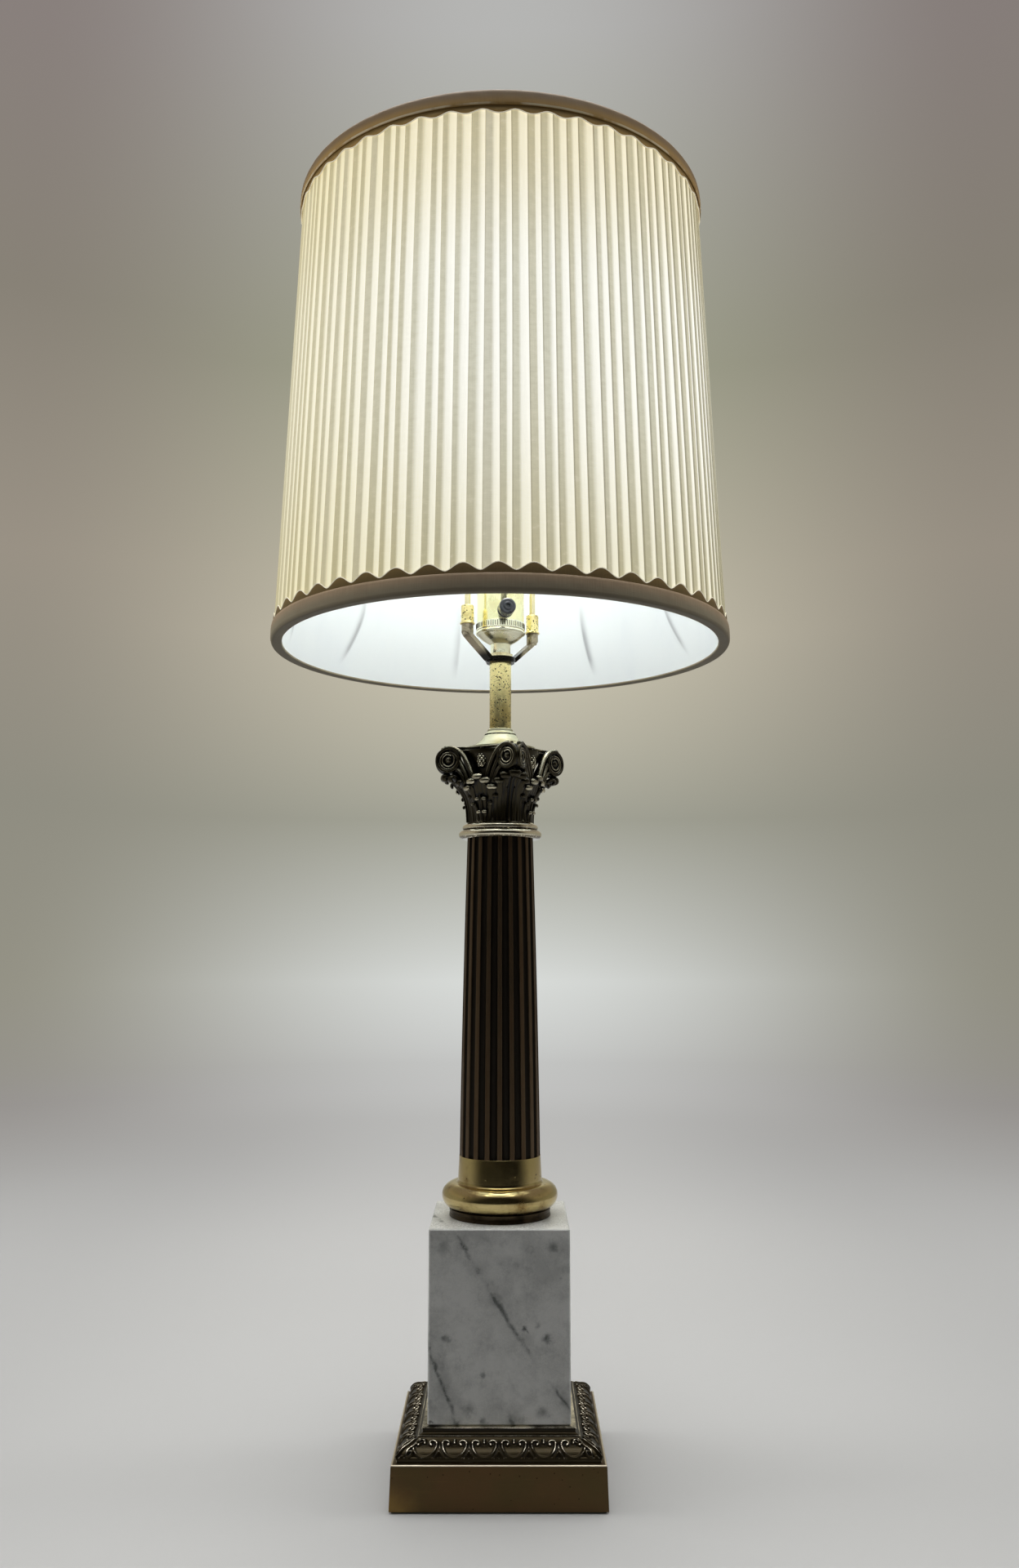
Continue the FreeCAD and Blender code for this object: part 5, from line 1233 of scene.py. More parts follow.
# ---- the column
@dataclass
class Column:
    """Foot ring, torus with its collar, fluted shaft and the ring below the capital."""

    foot: float = 171.8
    torus: float = 177.5
    shaft: float = 213.3
    ring: float = 438.3
    capital: float = 450.0
    radii: tuple[float, float, float] = (28.7, 26.8, 24)
    flutes: int = 20
    flute_share: float = 0.64
    flute_depth: float = 0.42
    rows: int = 90

    def fluted(self) -> None:
        """The shaft, with numbers for its hollows and for its lands' edges."""
        pitch = 2 * pi / self.flutes
        half = pitch * self.flute_share / 2
        land = [1.18, 1 / self.flute_share, 2 / self.flute_share - 1.18]
        across = np.concatenate([np.linspace(-1, 1, 13), land])
        levels = np.linspace(self.shaft, self.ring, self.rows)
        m = (levels - self.shaft) / (self.ring - self.shaft)
        low, swell, high = self.radii
        radii = low * (1 - m) * (1 - 2 * m) + swell * 4 * m * (1 - m) + high * m * (2 * m - 1)
        starts = [-pi / 2 + pitch * (i + 0.5) for i in range(self.flutes)]
        turns = np.concatenate([start + across * half for start in starts])
        share = np.tile(across, self.flutes)
        inside = np.abs(share) < 1
        rings, hollow, ridges = [], [], []
        for level, radius in zip(levels, radii):
            width = radius * sin(half)
            sag = 2 * width * self.flute_depth
            circle = (width**2 + sag**2) / (2 * sag)
            x = np.clip(share, -1, 1) * width
            dip = np.sqrt(np.maximum(circle**2 - x**2, 0)) - (circle - sag)
            rings.append(about(radius - np.where(inside, dip, 0), turns, level))
            hollow.append(np.where(inside, (dip / sag) ** 0.7, 0))
            ridges.append(np.where(np.abs(np.abs(share) - 1) < 0.12, 1, np.where(share > 1, 0.35, 0)))
        ends = [r * np.array([0.75, 0.75, 1]) for r in (rings[-1], rings[0])]
        grid = np.array(rings + ends)
        none = [np.zeros(len(turns))] * 2
        faces = grid_faces(len(grid), len(turns), True)
        skin = Skin().add(grid, faces, hollow=np.array(hollow + none), ridge=np.array(ridges + none))
        item = skin.add(grid[-2:], grid_faces(2, len(turns), True)).object("fluted_shaft")
        mend(item.data)
        sharpen(item, 28)
        settle(item, Body.LAMP, FlutedBronze("fluted_bronze").material(), "shaft_bronze", "column_shaft")

    def build(self) -> None:
        """Builds the column."""
        polished = Brass(
            "aged_polished_brass", (0.64, 0.52, 0.24), (0.27, 0.18, 0.065), 0.14, (0.46, 0.7), 42,
            pits=0.36, pit_scale=420,
        ).material()
        pale = Brass(
            "worn_neck_brass", (1, 0.93, 0.72), (0.2, 0.15, 0.07), 0.1, (0.5, 0.72), 60,
            # Painted shade on the lower part of each bead.
            pits=0.25, pit_scale=420, shade_bands=((0.4389, 0.0021), (0.4449, 0.0016)),
        ).material()
        dark = Brass("dark_bronze", (0.075, 0.055, 0.033), (0.03, 0.022, 0.014), 0.36).material()
        foot, torus, shaft, ring, top = self.foot, self.torus, self.shaft, self.ring, self.capital
        groove = arc((36.3, foot + 2.85), 1.05, 230, 130, 6)
        bulge = arc((32.5, torus + 8.6), 8.6, -90, 90, 22)
        bead = arc((27.3, ring + 3.2), 3.2, -90, 80, 16)
        upper = arc((25.4, ring + 8.3), 2.45, -50, 60, 10)
        ring_piece(
            "foot_ring", "column_foot", dark, "dark_bronze",
            [(20, foot), (35.9, foot, 0.4), *groove, (35.9, torus, 0.4), (20, torus)],
        )
        ring_piece(
            "torus_and_collar", "column_base", polished, "polished_brass",
            [(20, torus), *bulge, (30.7, torus + 17.2, 0.2), (30.2, torus + 17.7, 0.3),
             (29.9, torus + 18.9, 0.4), (28.95, shaft, 0.3), (26.7, shaft), (26.7, 200.3), (20, 200.3)],
        )
        ring_piece(
            "neck_bead", "neck_ring", pale, "polished_brass",
            [(15, ring), *bead, (26.9, ring + 6.5, 0.1), *upper, (25.2, ring + 10.9), (24.4, top, 0.3),
             (15, top)],
        )
        self.fluted()


# ---- the capital
class Section(Enum):
    """Cross-sections of carved tongues, as (share of half width, share of thickness)."""

    ROUND = ((1, 0), (0.92, 0.42), (0.66, 0.8), (0.3, 0.98), (0, 1.02), (-0.3, 0.98), (-0.66, 0.8),
             (-0.92, 0.42), (-1, 0), (-0.6, -0.7), (0.6, -0.7))
    DISHED = ((1, 0.15), (0.93, 0.85), (0.74, 1), (0.5, 0.55), (0.2, 0.45), (0, 0.75), (-0.2, 0.45),
              (-0.5, 0.55), (-0.74, 1), (-0.93, 0.85), (-1, 0.15), (-0.6, -0.7), (0.6, -0.7))


@dataclass(frozen=True)
class Tongue:
    """One finger of a leaf, from its root on the bell to its rolled tip."""

    turn_low: float
    turn_high: float
    low: float
    high: float
    reach: float
    roll: float
    wide_low: float
    wide_high: float
    thick: float
    lean: float = 70.0
    end: float = -70.0
    stand: float = 0.8
    section: Section = Section.ROUND
    # rub: how bright the finger's ridges are painted, as rubbed wear and painted highlight.
    rub: float = 1.0

    def both(self) -> list["Tongue"]:
        """The finger and, off the leaf's middle, its mirror image."""
        mirrored = replace(self, turn_low=-self.turn_low, turn_high=-self.turn_high)
        return [self, mirrored] if self.turn_low else [self]


@dataclass
class Capital:
    """Corinthian capital: bell, standing leaves, corner leaves, volutes, buds and abacus."""

    foot: float = 450.0
    top: float = 505.0
    turn: float = -75.0
    bell_low: float = 21.6
    bell_high: float = 29.0
    scroll: float = 9.5
    scroll_turn: float = 34.0
    scroll_reach: float = 49.3
    scroll_half: float = 2.4
    abacus_corner: float = 36.0
    abacus_half: float = 3.4
    waist: float = 26.2
    slab: float = 2.8
    bud: float = 4.1
    side_leaf: tuple[Tongue, ...] = (
        Tongue(0, 0, 0.3, 32.8, 34.4, 1.7, 2.2, 4.6, 1.5, 64, -95, 1.5, rub=0.85),
        Tongue(6.5, 10.8, 0.3, 30.2, 33.8, 1.9, 2, 4.3, 1.5, 64, -95, 1.3, rub=0.85),
        Tongue(13, 19.8, 0.3, 25.4, 32.8, 1.7, 1.9, 3.8, 1.4, 66, -90, 1, rub=0.8),
        Tongue(2.6, 6, 4, 17, 29, 1.2, 1.1, 2.2, 1, stand=2.6, rub=0.75),
        Tongue(2.6, 5.4, 0.3, 7.6, 27.4, 1.1, 1, 2.1, 1, stand=2.6, rub=0.75),
        Tongue(0, 0, 0.3, 18.5, 29, 0.8, 0.8, 0.9, 1.3, stand=2.9, rub=0.5),
        Tongue(10, 15.5, 0.3, 13.4, 28.4, 1.1, 1.2, 1.8, 1, stand=1.9, rub=0.55),
    )
    corner_leaf: tuple[Tongue, ...] = (
        Tongue(0, 0, 0.3, 34.6, 43.6, 2.4, 3.2, 5, 2, 24, -110, 1.3, Section.DISHED, 0.3),
        Tongue(8.5, 9, 0.3, 33, 40.6, 2.2, 2.6, 3.8, 1.8, 30, -100, 1, rub=0.25),
        Tongue(16.5, 16, 0.3, 29.5, 36.4, 1.9, 2.3, 3.2, 1.6, 50, -80, 0.8, rub=0.45),
        Tongue(24, 22, 0.3, 19, 28.6, 1.3, 1.7, 2.2, 1.2, stand=0.7, rub=0.5),
        Tongue(0, 0, 0.3, 33.2, 41.2, 1.8, 0.9, 0.7, 1.6, 26, 60, 2.8, rub=0.6),
        Tongue(4.6, 5.4, 0.3, 24, 31.4, 1, 0.5, 0.5, 0.9, 60, 40, 2.2, rub=0.4),
    )
    stems: tuple[tuple[tuple[Point, ...], float, float], ...] = (
        (((0.35, 0.93), (0, 0.99), (-0.48, 0.9), (-0.98, 0.6), (-1.4, 0.1), (-1.72, -0.52),
          (-1.98, -1.25), (-2.14, -2.05)), 2.7, 1.9),
        (((-0.1, 0.62), (-0.5, 0.42), (-0.86, 0), (-1.2, -0.6), (-1.52, -1.3), (-1.78, -2.2)), 2.5, 1.8),
        (((-0.15, -0.66), (-0.45, -0.66), (-0.8, -0.78), (-1.16, -1.22), (-1.42, -1.9)), 2, 1.6),
    )
    slab_edge: tuple[Point, ...] = (
        (0, -0.1), (0, 0.3), (0.55, 0.55), (0.55, 1), (0.1, 1.25), (0.1, 2.5), (0.3, 2.8), (3.2, 2.8)
    )

    def bell(self, rise: float | Array) -> float | Array:
        """The bell's radius at a height above the capital's foot."""
        return self.bell_low + (self.bell_high - self.bell_low) * (unit(rise / 50) ** 3)

    def tongue(self, skin: Skin, middle: float, shape: Tongue) -> None:
        """Adds one finger.

        Args:
            skin: What it is added to.
            middle: The leaf's place round the axis in degrees.
            shape: The finger.
        """
        centre = np.array([shape.reach - shape.roll, shape.high - shape.roll])
        lean = radians(shape.lean)
        opening = pi / 2 + lean
        start = np.array([self.bell(shape.low) + shape.stand, shape.low])
        join = centre + shape.roll * np.array([cos(opening), sin(opening)])
        span = np.linalg.norm(join - start)
        first = start + np.array([0, span * 0.52])
        second = join - span * 0.3 * np.array([cos(lean), sin(lean)])
        t = np.linspace(0, 1, 16)[:-1, None]
        stem = start * (1 - t) ** 3 + first * 3 * t * (1 - t) ** 2 + second * 3 * t**2 * (1 - t) + join * t**3
        turns = np.linspace(opening, radians(shape.end), 12)
        radii = np.linspace(shape.roll, shape.roll * 0.62, 12)[:, None]
        curl = centre + np.stack([np.cos(turns), np.sin(turns)], 1) * radii
        line = np.concatenate([stem, curl])
        run = np.concatenate([[0], np.cumsum(np.linalg.norm(np.diff(line, axis=0), axis=1))])
        share = run / run[-1]
        angle = np.radians(middle + shape.turn_low + (shape.turn_high - shape.turn_low) * share**1.3)
        path = about(line[:, 0], angle, self.foot + line[:, 1])
        aside = np.stack([-np.sin(angle), np.cos(angle), 0 * angle], 1)
        tip = unit((1 - share) / 0.1) ** 0.5
        lobes = 1 + 0.07 * np.sin(share * 19 + shape.turn_high)
        widths = shape.wide_low + (shape.wide_high - shape.wide_low) * share**0.8
        depths = shape.thick * (0.8 + 0.3 * share) * (0.5 + 0.5 * tip)
        swept(skin, path, aside, widths * lobes * (0.68 + 0.32 * tip), depths, shape.section, shape.rub)

    def scroll_disc(self) -> Skin:
        """One volute in the XZ plane round its eye: a round rim, a spiral ridge and a domed eye."""
        skin = Skin()
        sides, steps = 64, 32
        turn = np.linspace(0, 2 * pi, sides, endpoint=False)
        wound = ((turn - pi * 0.75) / (2 * pi)) % 1
        outer, inner = 0.8 - 0.26 * wound, 0.54 - 0.14 * wound
        for face in (-1, 1):
            rows, rub_and_highlight = [], []
            for share in np.linspace(1, 0, steps)[:-1]:
                height = 0.35 + 0 * turn
                for middle, half, tall in ((0.885, 0.125, 2.3), (outer, 0.075, 1.75), (inner, 0.07, 1.9)):
                    round_top = np.sqrt(unit(1 - ((share - middle) / half) ** 4))
                    height = np.maximum(height, tall * round_top)
                height = np.maximum(height, 2.5 * sqrt(max(0, 1 - (share / 0.3) ** 2)))
                # Painted highlight: thin bright lines along both spiral ridges, and the eye and the rim's
                # outer edge painted bright.
                line = sum(np.exp(-(((share - middle) / 0.05) ** 2)) for middle in (outer, inner))
                rubbed = (1 if share < 0.16 else 0) + (0.5 if share > 0.97 else 0)
                rub_and_highlight.append(np.clip(0.35 + 1.25 * line + rubbed, 0, 1.75))
                radius = self.scroll * share
                rows.append(np.stack([radius * np.cos(turn), face * height, radius * np.sin(turn)], 1))
            centre = np.array([[0, face * 2.5, 0]])
            faces = grid_faces(len(rows), sides, True)
            faces += fan_faces((len(rows) - 1) * sides, sides, len(rows) * sides)
            skin.add(np.concatenate(rows + [centre]), faces, rub=np.append(np.concatenate(rub_and_highlight), 1.6))
        rim = 2.3 * sqrt(1 - (0.115 / 0.125) ** 4)
        edge = [about(self.scroll, turn, y)[:, [0, 2, 1]] for y in (-rim, rim)]
        return skin.add(np.concatenate(edge), grid_faces(2, sides, True), rub=0.85)

    def quarter(self) -> Skin:
        """A quarter of the carving: the corner at 0 degrees and the side's middle at 45."""
        skin = Skin()
        for middle, leaf in ((0, self.corner_leaf), (45, self.side_leaf)):
            for shape in leaf:
                for finger in shape.both():
                    self.tongue(skin, middle, finger)
        for side in (1, -1):
            lean = turn_z(-side * self.scroll_turn)
            outward, cross = lean @ np.array([1, 0, 0]), lean @ np.array([0, 1, 0])
            eye = np.array([self.scroll_reach - self.scroll_half, 0, self.top - 0.4 - self.scroll])
            eye = eye - outward * (self.scroll - self.scroll_half / 2)
            disc = place_skin(self.scroll_disc(), lean, eye)
            skin.add(np.concatenate(disc.points), disc.faces, rub=np.concatenate(disc.numbers["rub"]))
            for line, wide, thick in self.stems:
                dense = smooth_line(np.array(line) * self.scroll, 5)
                path = eye + dense[:, :1] * outward + dense[:, 1:] * np.array([[0, 0, 1]])
                count = len(path)
                swell = wide * (0.75 + 0.45 * np.linspace(0, 1, count))
                aside, depths = np.tile(cross, (count, 1)), np.full(count, thick)
                swept(skin, path[::-1], aside, swell[::-1], depths, Section.ROUND, 0.85)
        self.flower(skin)
        return skin

    def flower(self, skin: Skin) -> None:
        """Adds the bumpy bud at the middle of the side."""
        high = self.top - 3.6
        low = high - 13.4
        rows, sides = 34, 40
        share = np.linspace(0, 1, rows)[:, None]
        turn = np.linspace(0, 2 * pi, sides, endpoint=False)[None, :]
        belly = self.bud * unit(np.sin(pi * share**0.85)) ** 0.5
        scales = np.abs(np.sin(turn * 4 + share * 12)) * np.abs(np.sin(turn * 4 - share * 12))
        angle = radians(45)
        centre = (self.waist - 0.6) * np.array([cos(angle), sin(angle)])
        points = about(belly * (0.84 + 0.2 * scales), turn, low + (high - low) * share)
        points = points + np.array([*centre, 0])
        # A rub above 1 paints the whole bud bright: painted highlight with wear.
        skin.add(points, grid_faces(rows, sides, True), rub=1.6)
        stem = np.array([[*centre, z] for z in np.linspace(high - 1, self.top - 1, 4)])
        aside = np.tile([-sin(angle), cos(angle), 0], (4, 1))
        swept(skin, stem, aside, np.full(4, 1.6), np.full(4, 1.6), Section.ROUND)

    def slab_quarter(self, skin: Skin) -> None:
        """Adds a quarter of the abacus, between the middles of two sides, with a moulded edge."""
        start = np.array([self.abacus_corner, self.abacus_half])
        axis = np.array([cos(pi / 4), sin(pi / 4)])
        across = np.array([-axis[1], axis[0]])
        half, rise = start @ across, start @ axis - self.waist
        radius = (half**2 + rise**2) / (2 * rise)
        share = asin(half / radius) / 2
        bent = axis * (self.waist + radius - radius * cos(share)) + across * radius * sin(share)
        side = through(tuple(start), tuple(bent), tuple(self.waist * axis), 16)
        ring = np.array([(x, -y) for x, y in side[::-1]] + [(self.abacus_corner, 0)] + side)
        size = np.linalg.norm(ring, axis=1)
        foot = self.top - self.slab
        inner = np.full(size.shape, 6)
        levels = [(np.maximum(size - inset, 6), height) for inset, height in self.slab_edge]
        rows = [
            np.concatenate([ring / size[:, None] * reach[:, None], np.full((len(ring), 1), foot + height)], 1)
            for reach, height in [(inner, -0.1), *levels, (inner, self.slab), (inner, -0.1)]
        ]
        # A rub above 1 paints the abacus bright: painted highlight with wear.
        skin.add(np.array(rows), grid_faces(len(rows), len(ring)), rub=1.15)

    def build(self) -> None:
        """Builds the carving as one mesh and the bell inside it."""
        quarter = self.quarter()
        self.slab_quarter(quarter)
        rises = np.linspace(0, self.top - self.slab - self.foot, 26)[:, None]
        wall = about(self.bell(rises), np.radians(np.linspace(-45, 45, 31)), self.foot + rises)
        low, high = (ring * np.array([0.25, 0.25, 1]) for ring in (wall[:1], wall[-1:]))
        quarter.add(np.concatenate([low, wall, high, low]), grid_faces(29, 31))
        whole, same = repeated(quarter, 4, self.turn)
        item = whole.object("capital_carving")
        weather(item, 3.4, same)
        mend(item.data)
        sharpen(item, 65)
        bronze = CarvedBrass(
            "carved_bronze", (0.68, 0.63, 0.47), (0.038, 0.031, 0.016), (0.003, 0.0025, 0.002),
            (0.44, 0.92), 0.2, 0.25,
        )
        settle(item, Body.LAMP, bronze.material(), "dark_bronze", "capital")


def smooth_line(knots: Array, steps: int) -> Array:
    """A smooth line through knots, with even steps between each two."""
    padded = np.concatenate([[2 * knots[0] - knots[1]], knots, [2 * knots[-1] - knots[-2]]])
    made = []
    for i in range(len(knots) - 1):
        a, b, c, d = padded[i : i + 4]
        square, cube = 2 * a - 5 * b + 4 * c - d, 3 * b - a - 3 * c + d
        made += [0.5 * (2 * b + (c - a) * t + square * t**2 + cube * t**3) for t in np.arange(steps) / steps]
    return np.array(made + [knots[-1]])


# ---- growing by geometry nodes
class Growth(Graph):
    """A geometry tree that repeats a mesh along a numbered line and shapes the copies."""

    def __init__(self, name: str, count: str, mark: str, **inputs: str) -> None:
        """Makes the tree with its named inputs and the realized copies.

        Args:
            name: The tree's name.
            count: The input that says how many copies there are.
            mark: The attribute that numbers the copies.
            inputs: The kinds of the inputs, by name with _ for each blank.
        """
        tree = bpy.data.node_groups.new(name, "GeometryNodeTree")
        shape = "NodeSocketGeometry"
        tree.interface.new_socket("Geometry", in_out="INPUT", socket_type=shape)
        for title, kind in inputs.items():
            label, kind = title.replace("_", " "), "NodeSocket" + kind
            tree.interface.new_socket(label, in_out="INPUT", socket_type=kind)
        tree.interface.new_socket("Geometry", in_out="OUTPUT", socket_type=shape)
        super().__init__(tree)
        self.given = self.outputs(self.node("NodeGroupInput"))
        offset = {0: self.input(count), "Offset": (0, 0, 0)}
        index = self.node("GeometryNodeInputIndex")
        line = self.stored(self.node("GeometryNodeMeshLine", None, offset), mark, index)
        made = {0: line, "Instance": self.input("Geometry")}
        copies = self.node("GeometryNodeInstanceOnPoints", None, made)
        self.copies = self.node("GeometryNodeRealizeInstances", None, {0: copies})
        self.mark = self.number(mark)
        self.place = self.node("GeometryNodeInputPosition")

    def input(self, name: str) -> Value:
        """One of the tree's inputs."""
        return Value(self, self.given[name])

    def number(self, name: str) -> Value:
        """A number that the mesh carries."""
        return self.node("GeometryNodeInputNamedAttribute", {"data_type": "FLOAT"}, {0: name})

    def stored(self, shape: Value, name: str, value: Value, domain: str = "POINT") -> Value:
        """The shape, carrying one more number."""
        keep = {"data_type": "FLOAT", "domain": domain}
        values = {0: shape, "Name": name, "Value": value}
        return self.node("GeometryNodeStoreNamedAttribute", keep, values)

    def chance(self, least: Setting, most: Setting, item: Value, layer: int = 0) -> Value:
        """A fixed random number for one copy. Each layer has its own."""
        seed = self.input("Seed") + layer if layer else self.input("Seed")
        values = {2: least, 3: most, "ID": item, "Seed": seed}
        return self.node("FunctionNodeRandomValue", {"data_type": "FLOAT"}, values, 1)

    def moved(self, x: Value, y: Value, z: Value) -> Value:
        """The copies with their points set."""
        values = {0: self.copies, "Position": self.vector(x, y, z)}
        return self.node("GeometryNodeSetPosition", None, values)

    def close(self, shape: Value, material: Material) -> None:
        """Ends the tree with the shape in its material."""
        dressed = self.node("GeometryNodeSetMaterial", None, {0: shape, "Material": material})
        self.node("NodeGroupOutput", None, {0: dressed})

    def run(self, item: Object, values: Mapping[str, Setting], smooth: bool = True) -> None:
        """Runs the tree on a piece and keeps the result as its plain mesh.

        Args:
            item: The piece the tree starts from.
            values: The tree's inputs, by name.
            smooth: Whether the result is shaded smooth.
        """
        modifier = item.modifiers.new(self.tree.name, "NODES")
        modifier.node_group = self.tree
        for socket in self.tree.interface.items_tree:
            if socket.in_out == "INPUT" and socket.name in values:
                modifier[socket.identifier] = values[socket.name]
        baked(item, modifier)
        item.data.polygons.foreach_set("use_smooth", [smooth] * len(item.data.polygons))


# ---- fittings above the capital
@dataclass
class Fittings:
    """Cover, riser, socket, knob, bulb, sleeves and finial."""

    cover: float = 505.0
    seat: float = 515.4
    riser: float = 520.2
    washer: float = 570.0
    cap: float = 577.0
    shell: float = 593.0
    shell_top: float = 639.0
    knob: float = 605.0
    knob_turn: float = -81.0
    glass: float = 641.95
    sleeve: float = 596.2
    sleeve_foot: float = 28.8
    saddle_turn: float = 33.0
    finial: float = 907.8
    marks: int = 64

    def rim_marks(self, brass: Material) -> None:
        """The stamped marks round the rim of the socket cap."""
        g = Growth("rim_marks", "Marks", "mark", Marks="Int", Radius="Float", Height="Float", Seed="Int")
        x, y, z = g.parts(g.place)
        turn = g.mark / g.input("Marks") * (2 * pi)
        reach = g.input("Radius") + y
        across, away = g.math("COSINE", turn), g.math("SINE", turn)
        rise = z * g.chance(0.86, 1.06, g.mark) + g.input("Height")
        g.close(g.moved(across * reach - away * x, away * reach + across * x, rise), brass)
        wide, tall, deep = 0.33, 2.1, 0.22
        corners = ((-1, -1), (1, -1), (1, 1), (-1, 1))
        points = [(x * wide, -0.1, z * tall) for x, z in corners]
        points += [(x * wide * 0.4, deep, z * tall * 0.8) for x, z in corners]
        faces = [(0, 3, 2, 1), (4, 5, 6, 7), (0, 1, 5, 4), (1, 2, 6, 5), (2, 3, 7, 6), (3, 0, 4, 7)]
        item = Skin().add(np.array(points), faces).object("cap_rim_marks")
        height = (self.shell + 4.4) * MM
        g.run(item, {"Marks": self.marks, "Radius": 18.08 * MM, "Height": height, "Seed": 3}, False)
        settle(item, Body.LAMP, brass, "light_brass")

    def stack(self) -> None:
        """The turned pieces from the bell cover to the riser."""
        cover = Brass(
            "cover_brass", (0.72, 0.7, 0.5), (0.56, 0.52, 0.33), 0.4, (0.48, 0.72), 50,
            # Painted shadow line where the seat ring meets the cover.
            shade_bands=((0.5157, 0.0009),),
        ).material()
        foot, low, top = self.cover, self.seat, self.riser
        flare = through((26, foot + 0.8), (17.42, foot + 4.16), (12.1, low - 0.3), 20)
        ring_piece(
            "bell_cover", "capital_cover", cover, "light_brass",
            [(8, foot), (26, foot, 0.2), *flare, (11.8, low), (8, low)],
        )
        ring_piece(
            "stepped_seat", "seat_ring", cover, "light_brass",
            [(7.2, low), (10.3, low), (10.3, low + 0.55), (11.7, low + 0.65, 0.15), (11.4, low + 1.4, 0.5),
             (9.9, low + 2.1, 0.5), (9.4, low + 2.9, 0.3), (9.4, top - 0.4, 0.4), (8.7, top), (7.2, top)],
        )

    def holder(self, pitted: Material) -> None:
        """Riser, lampholder and the sleeves of the harp."""
        light = Brass(
            "light_brass", (0.98, 0.95, 0.58), (0.84, 0.77, 0.42), 0.2, (0.48, 0.72), 40, pits=0.08,
            pit_scale=520,
        ).material()
        pale = Brass("pale_brass", (0.98, 0.96, 0.74), (0.8, 0.74, 0.5), 0.22, (0.48, 0.72), 50)
        stamped = Brass("stamped_brass", (0.1, 0.08, 0.04), (0.05, 0.04, 0.02), 0.4)
        low, top = self.riser, self.washer
        ring_piece(
            "riser", "riser_tube", pitted, "pitted_brass",
            [(7, low), (8, low, 0.2), (8, top, 0.2), (7, top)],
        )
        foot, shell, top, neck = self.cap, self.shell, self.shell_top, self.cap + 7
        bowl = through((7.6, neck + 0.4), (11.5, neck + 2.5), (16.8, shell - 2), 14)
        bead = through((16.9, shell - 1.9), (18.4, shell - 0.4), (17.7, shell + 1.2), 8)
        ring_piece(
            "socket_cap_shell", "socket_cap", pale.material(), "light_brass",
            [(5.5, foot), (7.4, foot, 0.3), (7.4, neck, 0.3), *bowl, *bead, (18.08, shell + 1.7, 0.2),
             (18.08, shell + 7.2, 0.15), (17.62, shell + 7.2), (17.62, shell + 0.4), (16, shell - 0.6),
             (8, neck + 0.9), (5.5, neck + 0.9)],
        )
        self.rim_marks(stamped.material())
        barrel = ring_piece(
            "socket_barrel", "socket_shell", light, "light_brass",
            [(17, shell), (17.5, shell), (17.5, top, 0.2), (17, top)],
        )
        drill = turned([(0, 10), (2.5, 10), (2.5, 24), (0, 24)], 32)
        cut(barrel, self.aimed(drill).object("drill"))

    def aimed(self, skin: Skin) -> Skin:
        """A piece turned about +Z, laid along the switch's axis."""
        aim = turn_z(self.knob_turn) @ np.array([[0, 0, 1], [0, 1, 0], [-1, 0, 0]])
        return place_skin(skin, aim, (0, 0, self.knob))

    def switch_knob(self) -> None:
        """The rotary switch's ribbed knob."""
        start, end = 22.1, 37.5
        profile = [
            (0, start), (4.8, start, 0.3), (6, start + 1.6, 0.5), (6, start + 4, 0.3),
            (5.1, start + 4.8, 0.3), (5.1, start + 5.8, 0.3), (6, start + 6.6, 0.3), (6, end - 1.6, 0.5),
            (4.9, end - 0.6, 0.3), (3.4, end - 0.9, 0.3), (2.7, end, 0.3), (1.6, end, 0.2), (1.5, end - 3),
            (0, end - 3),
        ]
        knob = sharpen(self.aimed(turned(rounded(profile), 64)).object("turn_knob"), 40)
        settle(knob, Body.SWITCH, black_plastic(), "black_plastic", "switch_knob")

    def bulb(self) -> None:
        """The lit frosted bulb."""
        glass, foot = Plain("lit_frosted_glass", (0.95, 0.94, 0.9), 0.4, glow=14), self.glass
        shoulder = through((13, foot), (15.08, foot + 18.2), (21.9, foot + 31.4), 14)
        dome = arc((0, foot + 51.9), 30, -43.1, 90, 28)
        bulb = turned([(0, foot), *shoulder, *dome[1:-1], (0, dome[-1][1])], 72).object("bulb_envelope")
        settle(bulb, Body.BULB, glass.material(), "frosted_glass", "bulb_glass")

    def sleeves(self, pitted: Material) -> None:
        """The two sleeves that lock the harp's feet."""
        z = self.sleeve
        profile = [
            (3.48, z), (5.4, z, 0.2), (5.4, z + 1.1, 0.3), (4.7, z + 1.5, 0.2), (4.7, z + 14.2, 0.9),
            (2.28, z + 14.2), (2.28, z + 12.4), (3.48, z + 12.4),
        ]
        for body, side, node in (
            (Body.SLEEVE_RIGHT, 0, "harp_sleeve_right"),
            (Body.SLEEVE_LEFT, 180, "harp_sleeve_left"),
        ):
            turn = radians(self.saddle_turn + side)
            foot = (self.sleeve_foot * cos(turn), self.sleeve_foot * sin(turn), 0)
            item = place_skin(turned(rounded(profile, 3), 48, True), np.eye(3), foot).object(node + "_tube")
            settle(sharpen(item), body, pitted, "pitted_brass", node)

    def knob_finial(self) -> None:
        """The turned finial."""
        polished = Brass("finial_brass", (0.6, 0.46, 0.2), (0.34, 0.24, 0.09), 0.18).material()
        foot = self.finial
        tip = foot + 29 - 2.4
        ball = arc((0, tip - 10.04), 8.6, -55, 72, 20)
        waist = through((7.6, foot + 1.6), (4.8, (foot + 1.6 + ball[0][1]) / 2), ball[0], 12)
        point = arc((0, tip), 2.4, -25, 90, 10)
        profile = [(0, foot + 15.5), (3.15, foot + 15.5), (3.15, foot), (7.6, foot, 0.3), *waist]
        profile += [*ball[1:], *point[:-1], (0, point[-1][1])]
        knob = sharpen(turned(rounded(profile, 3), 72).object("turned_finial"), 40)
        settle(knob, Body.FINIAL, polished, "polished_brass", "finial")

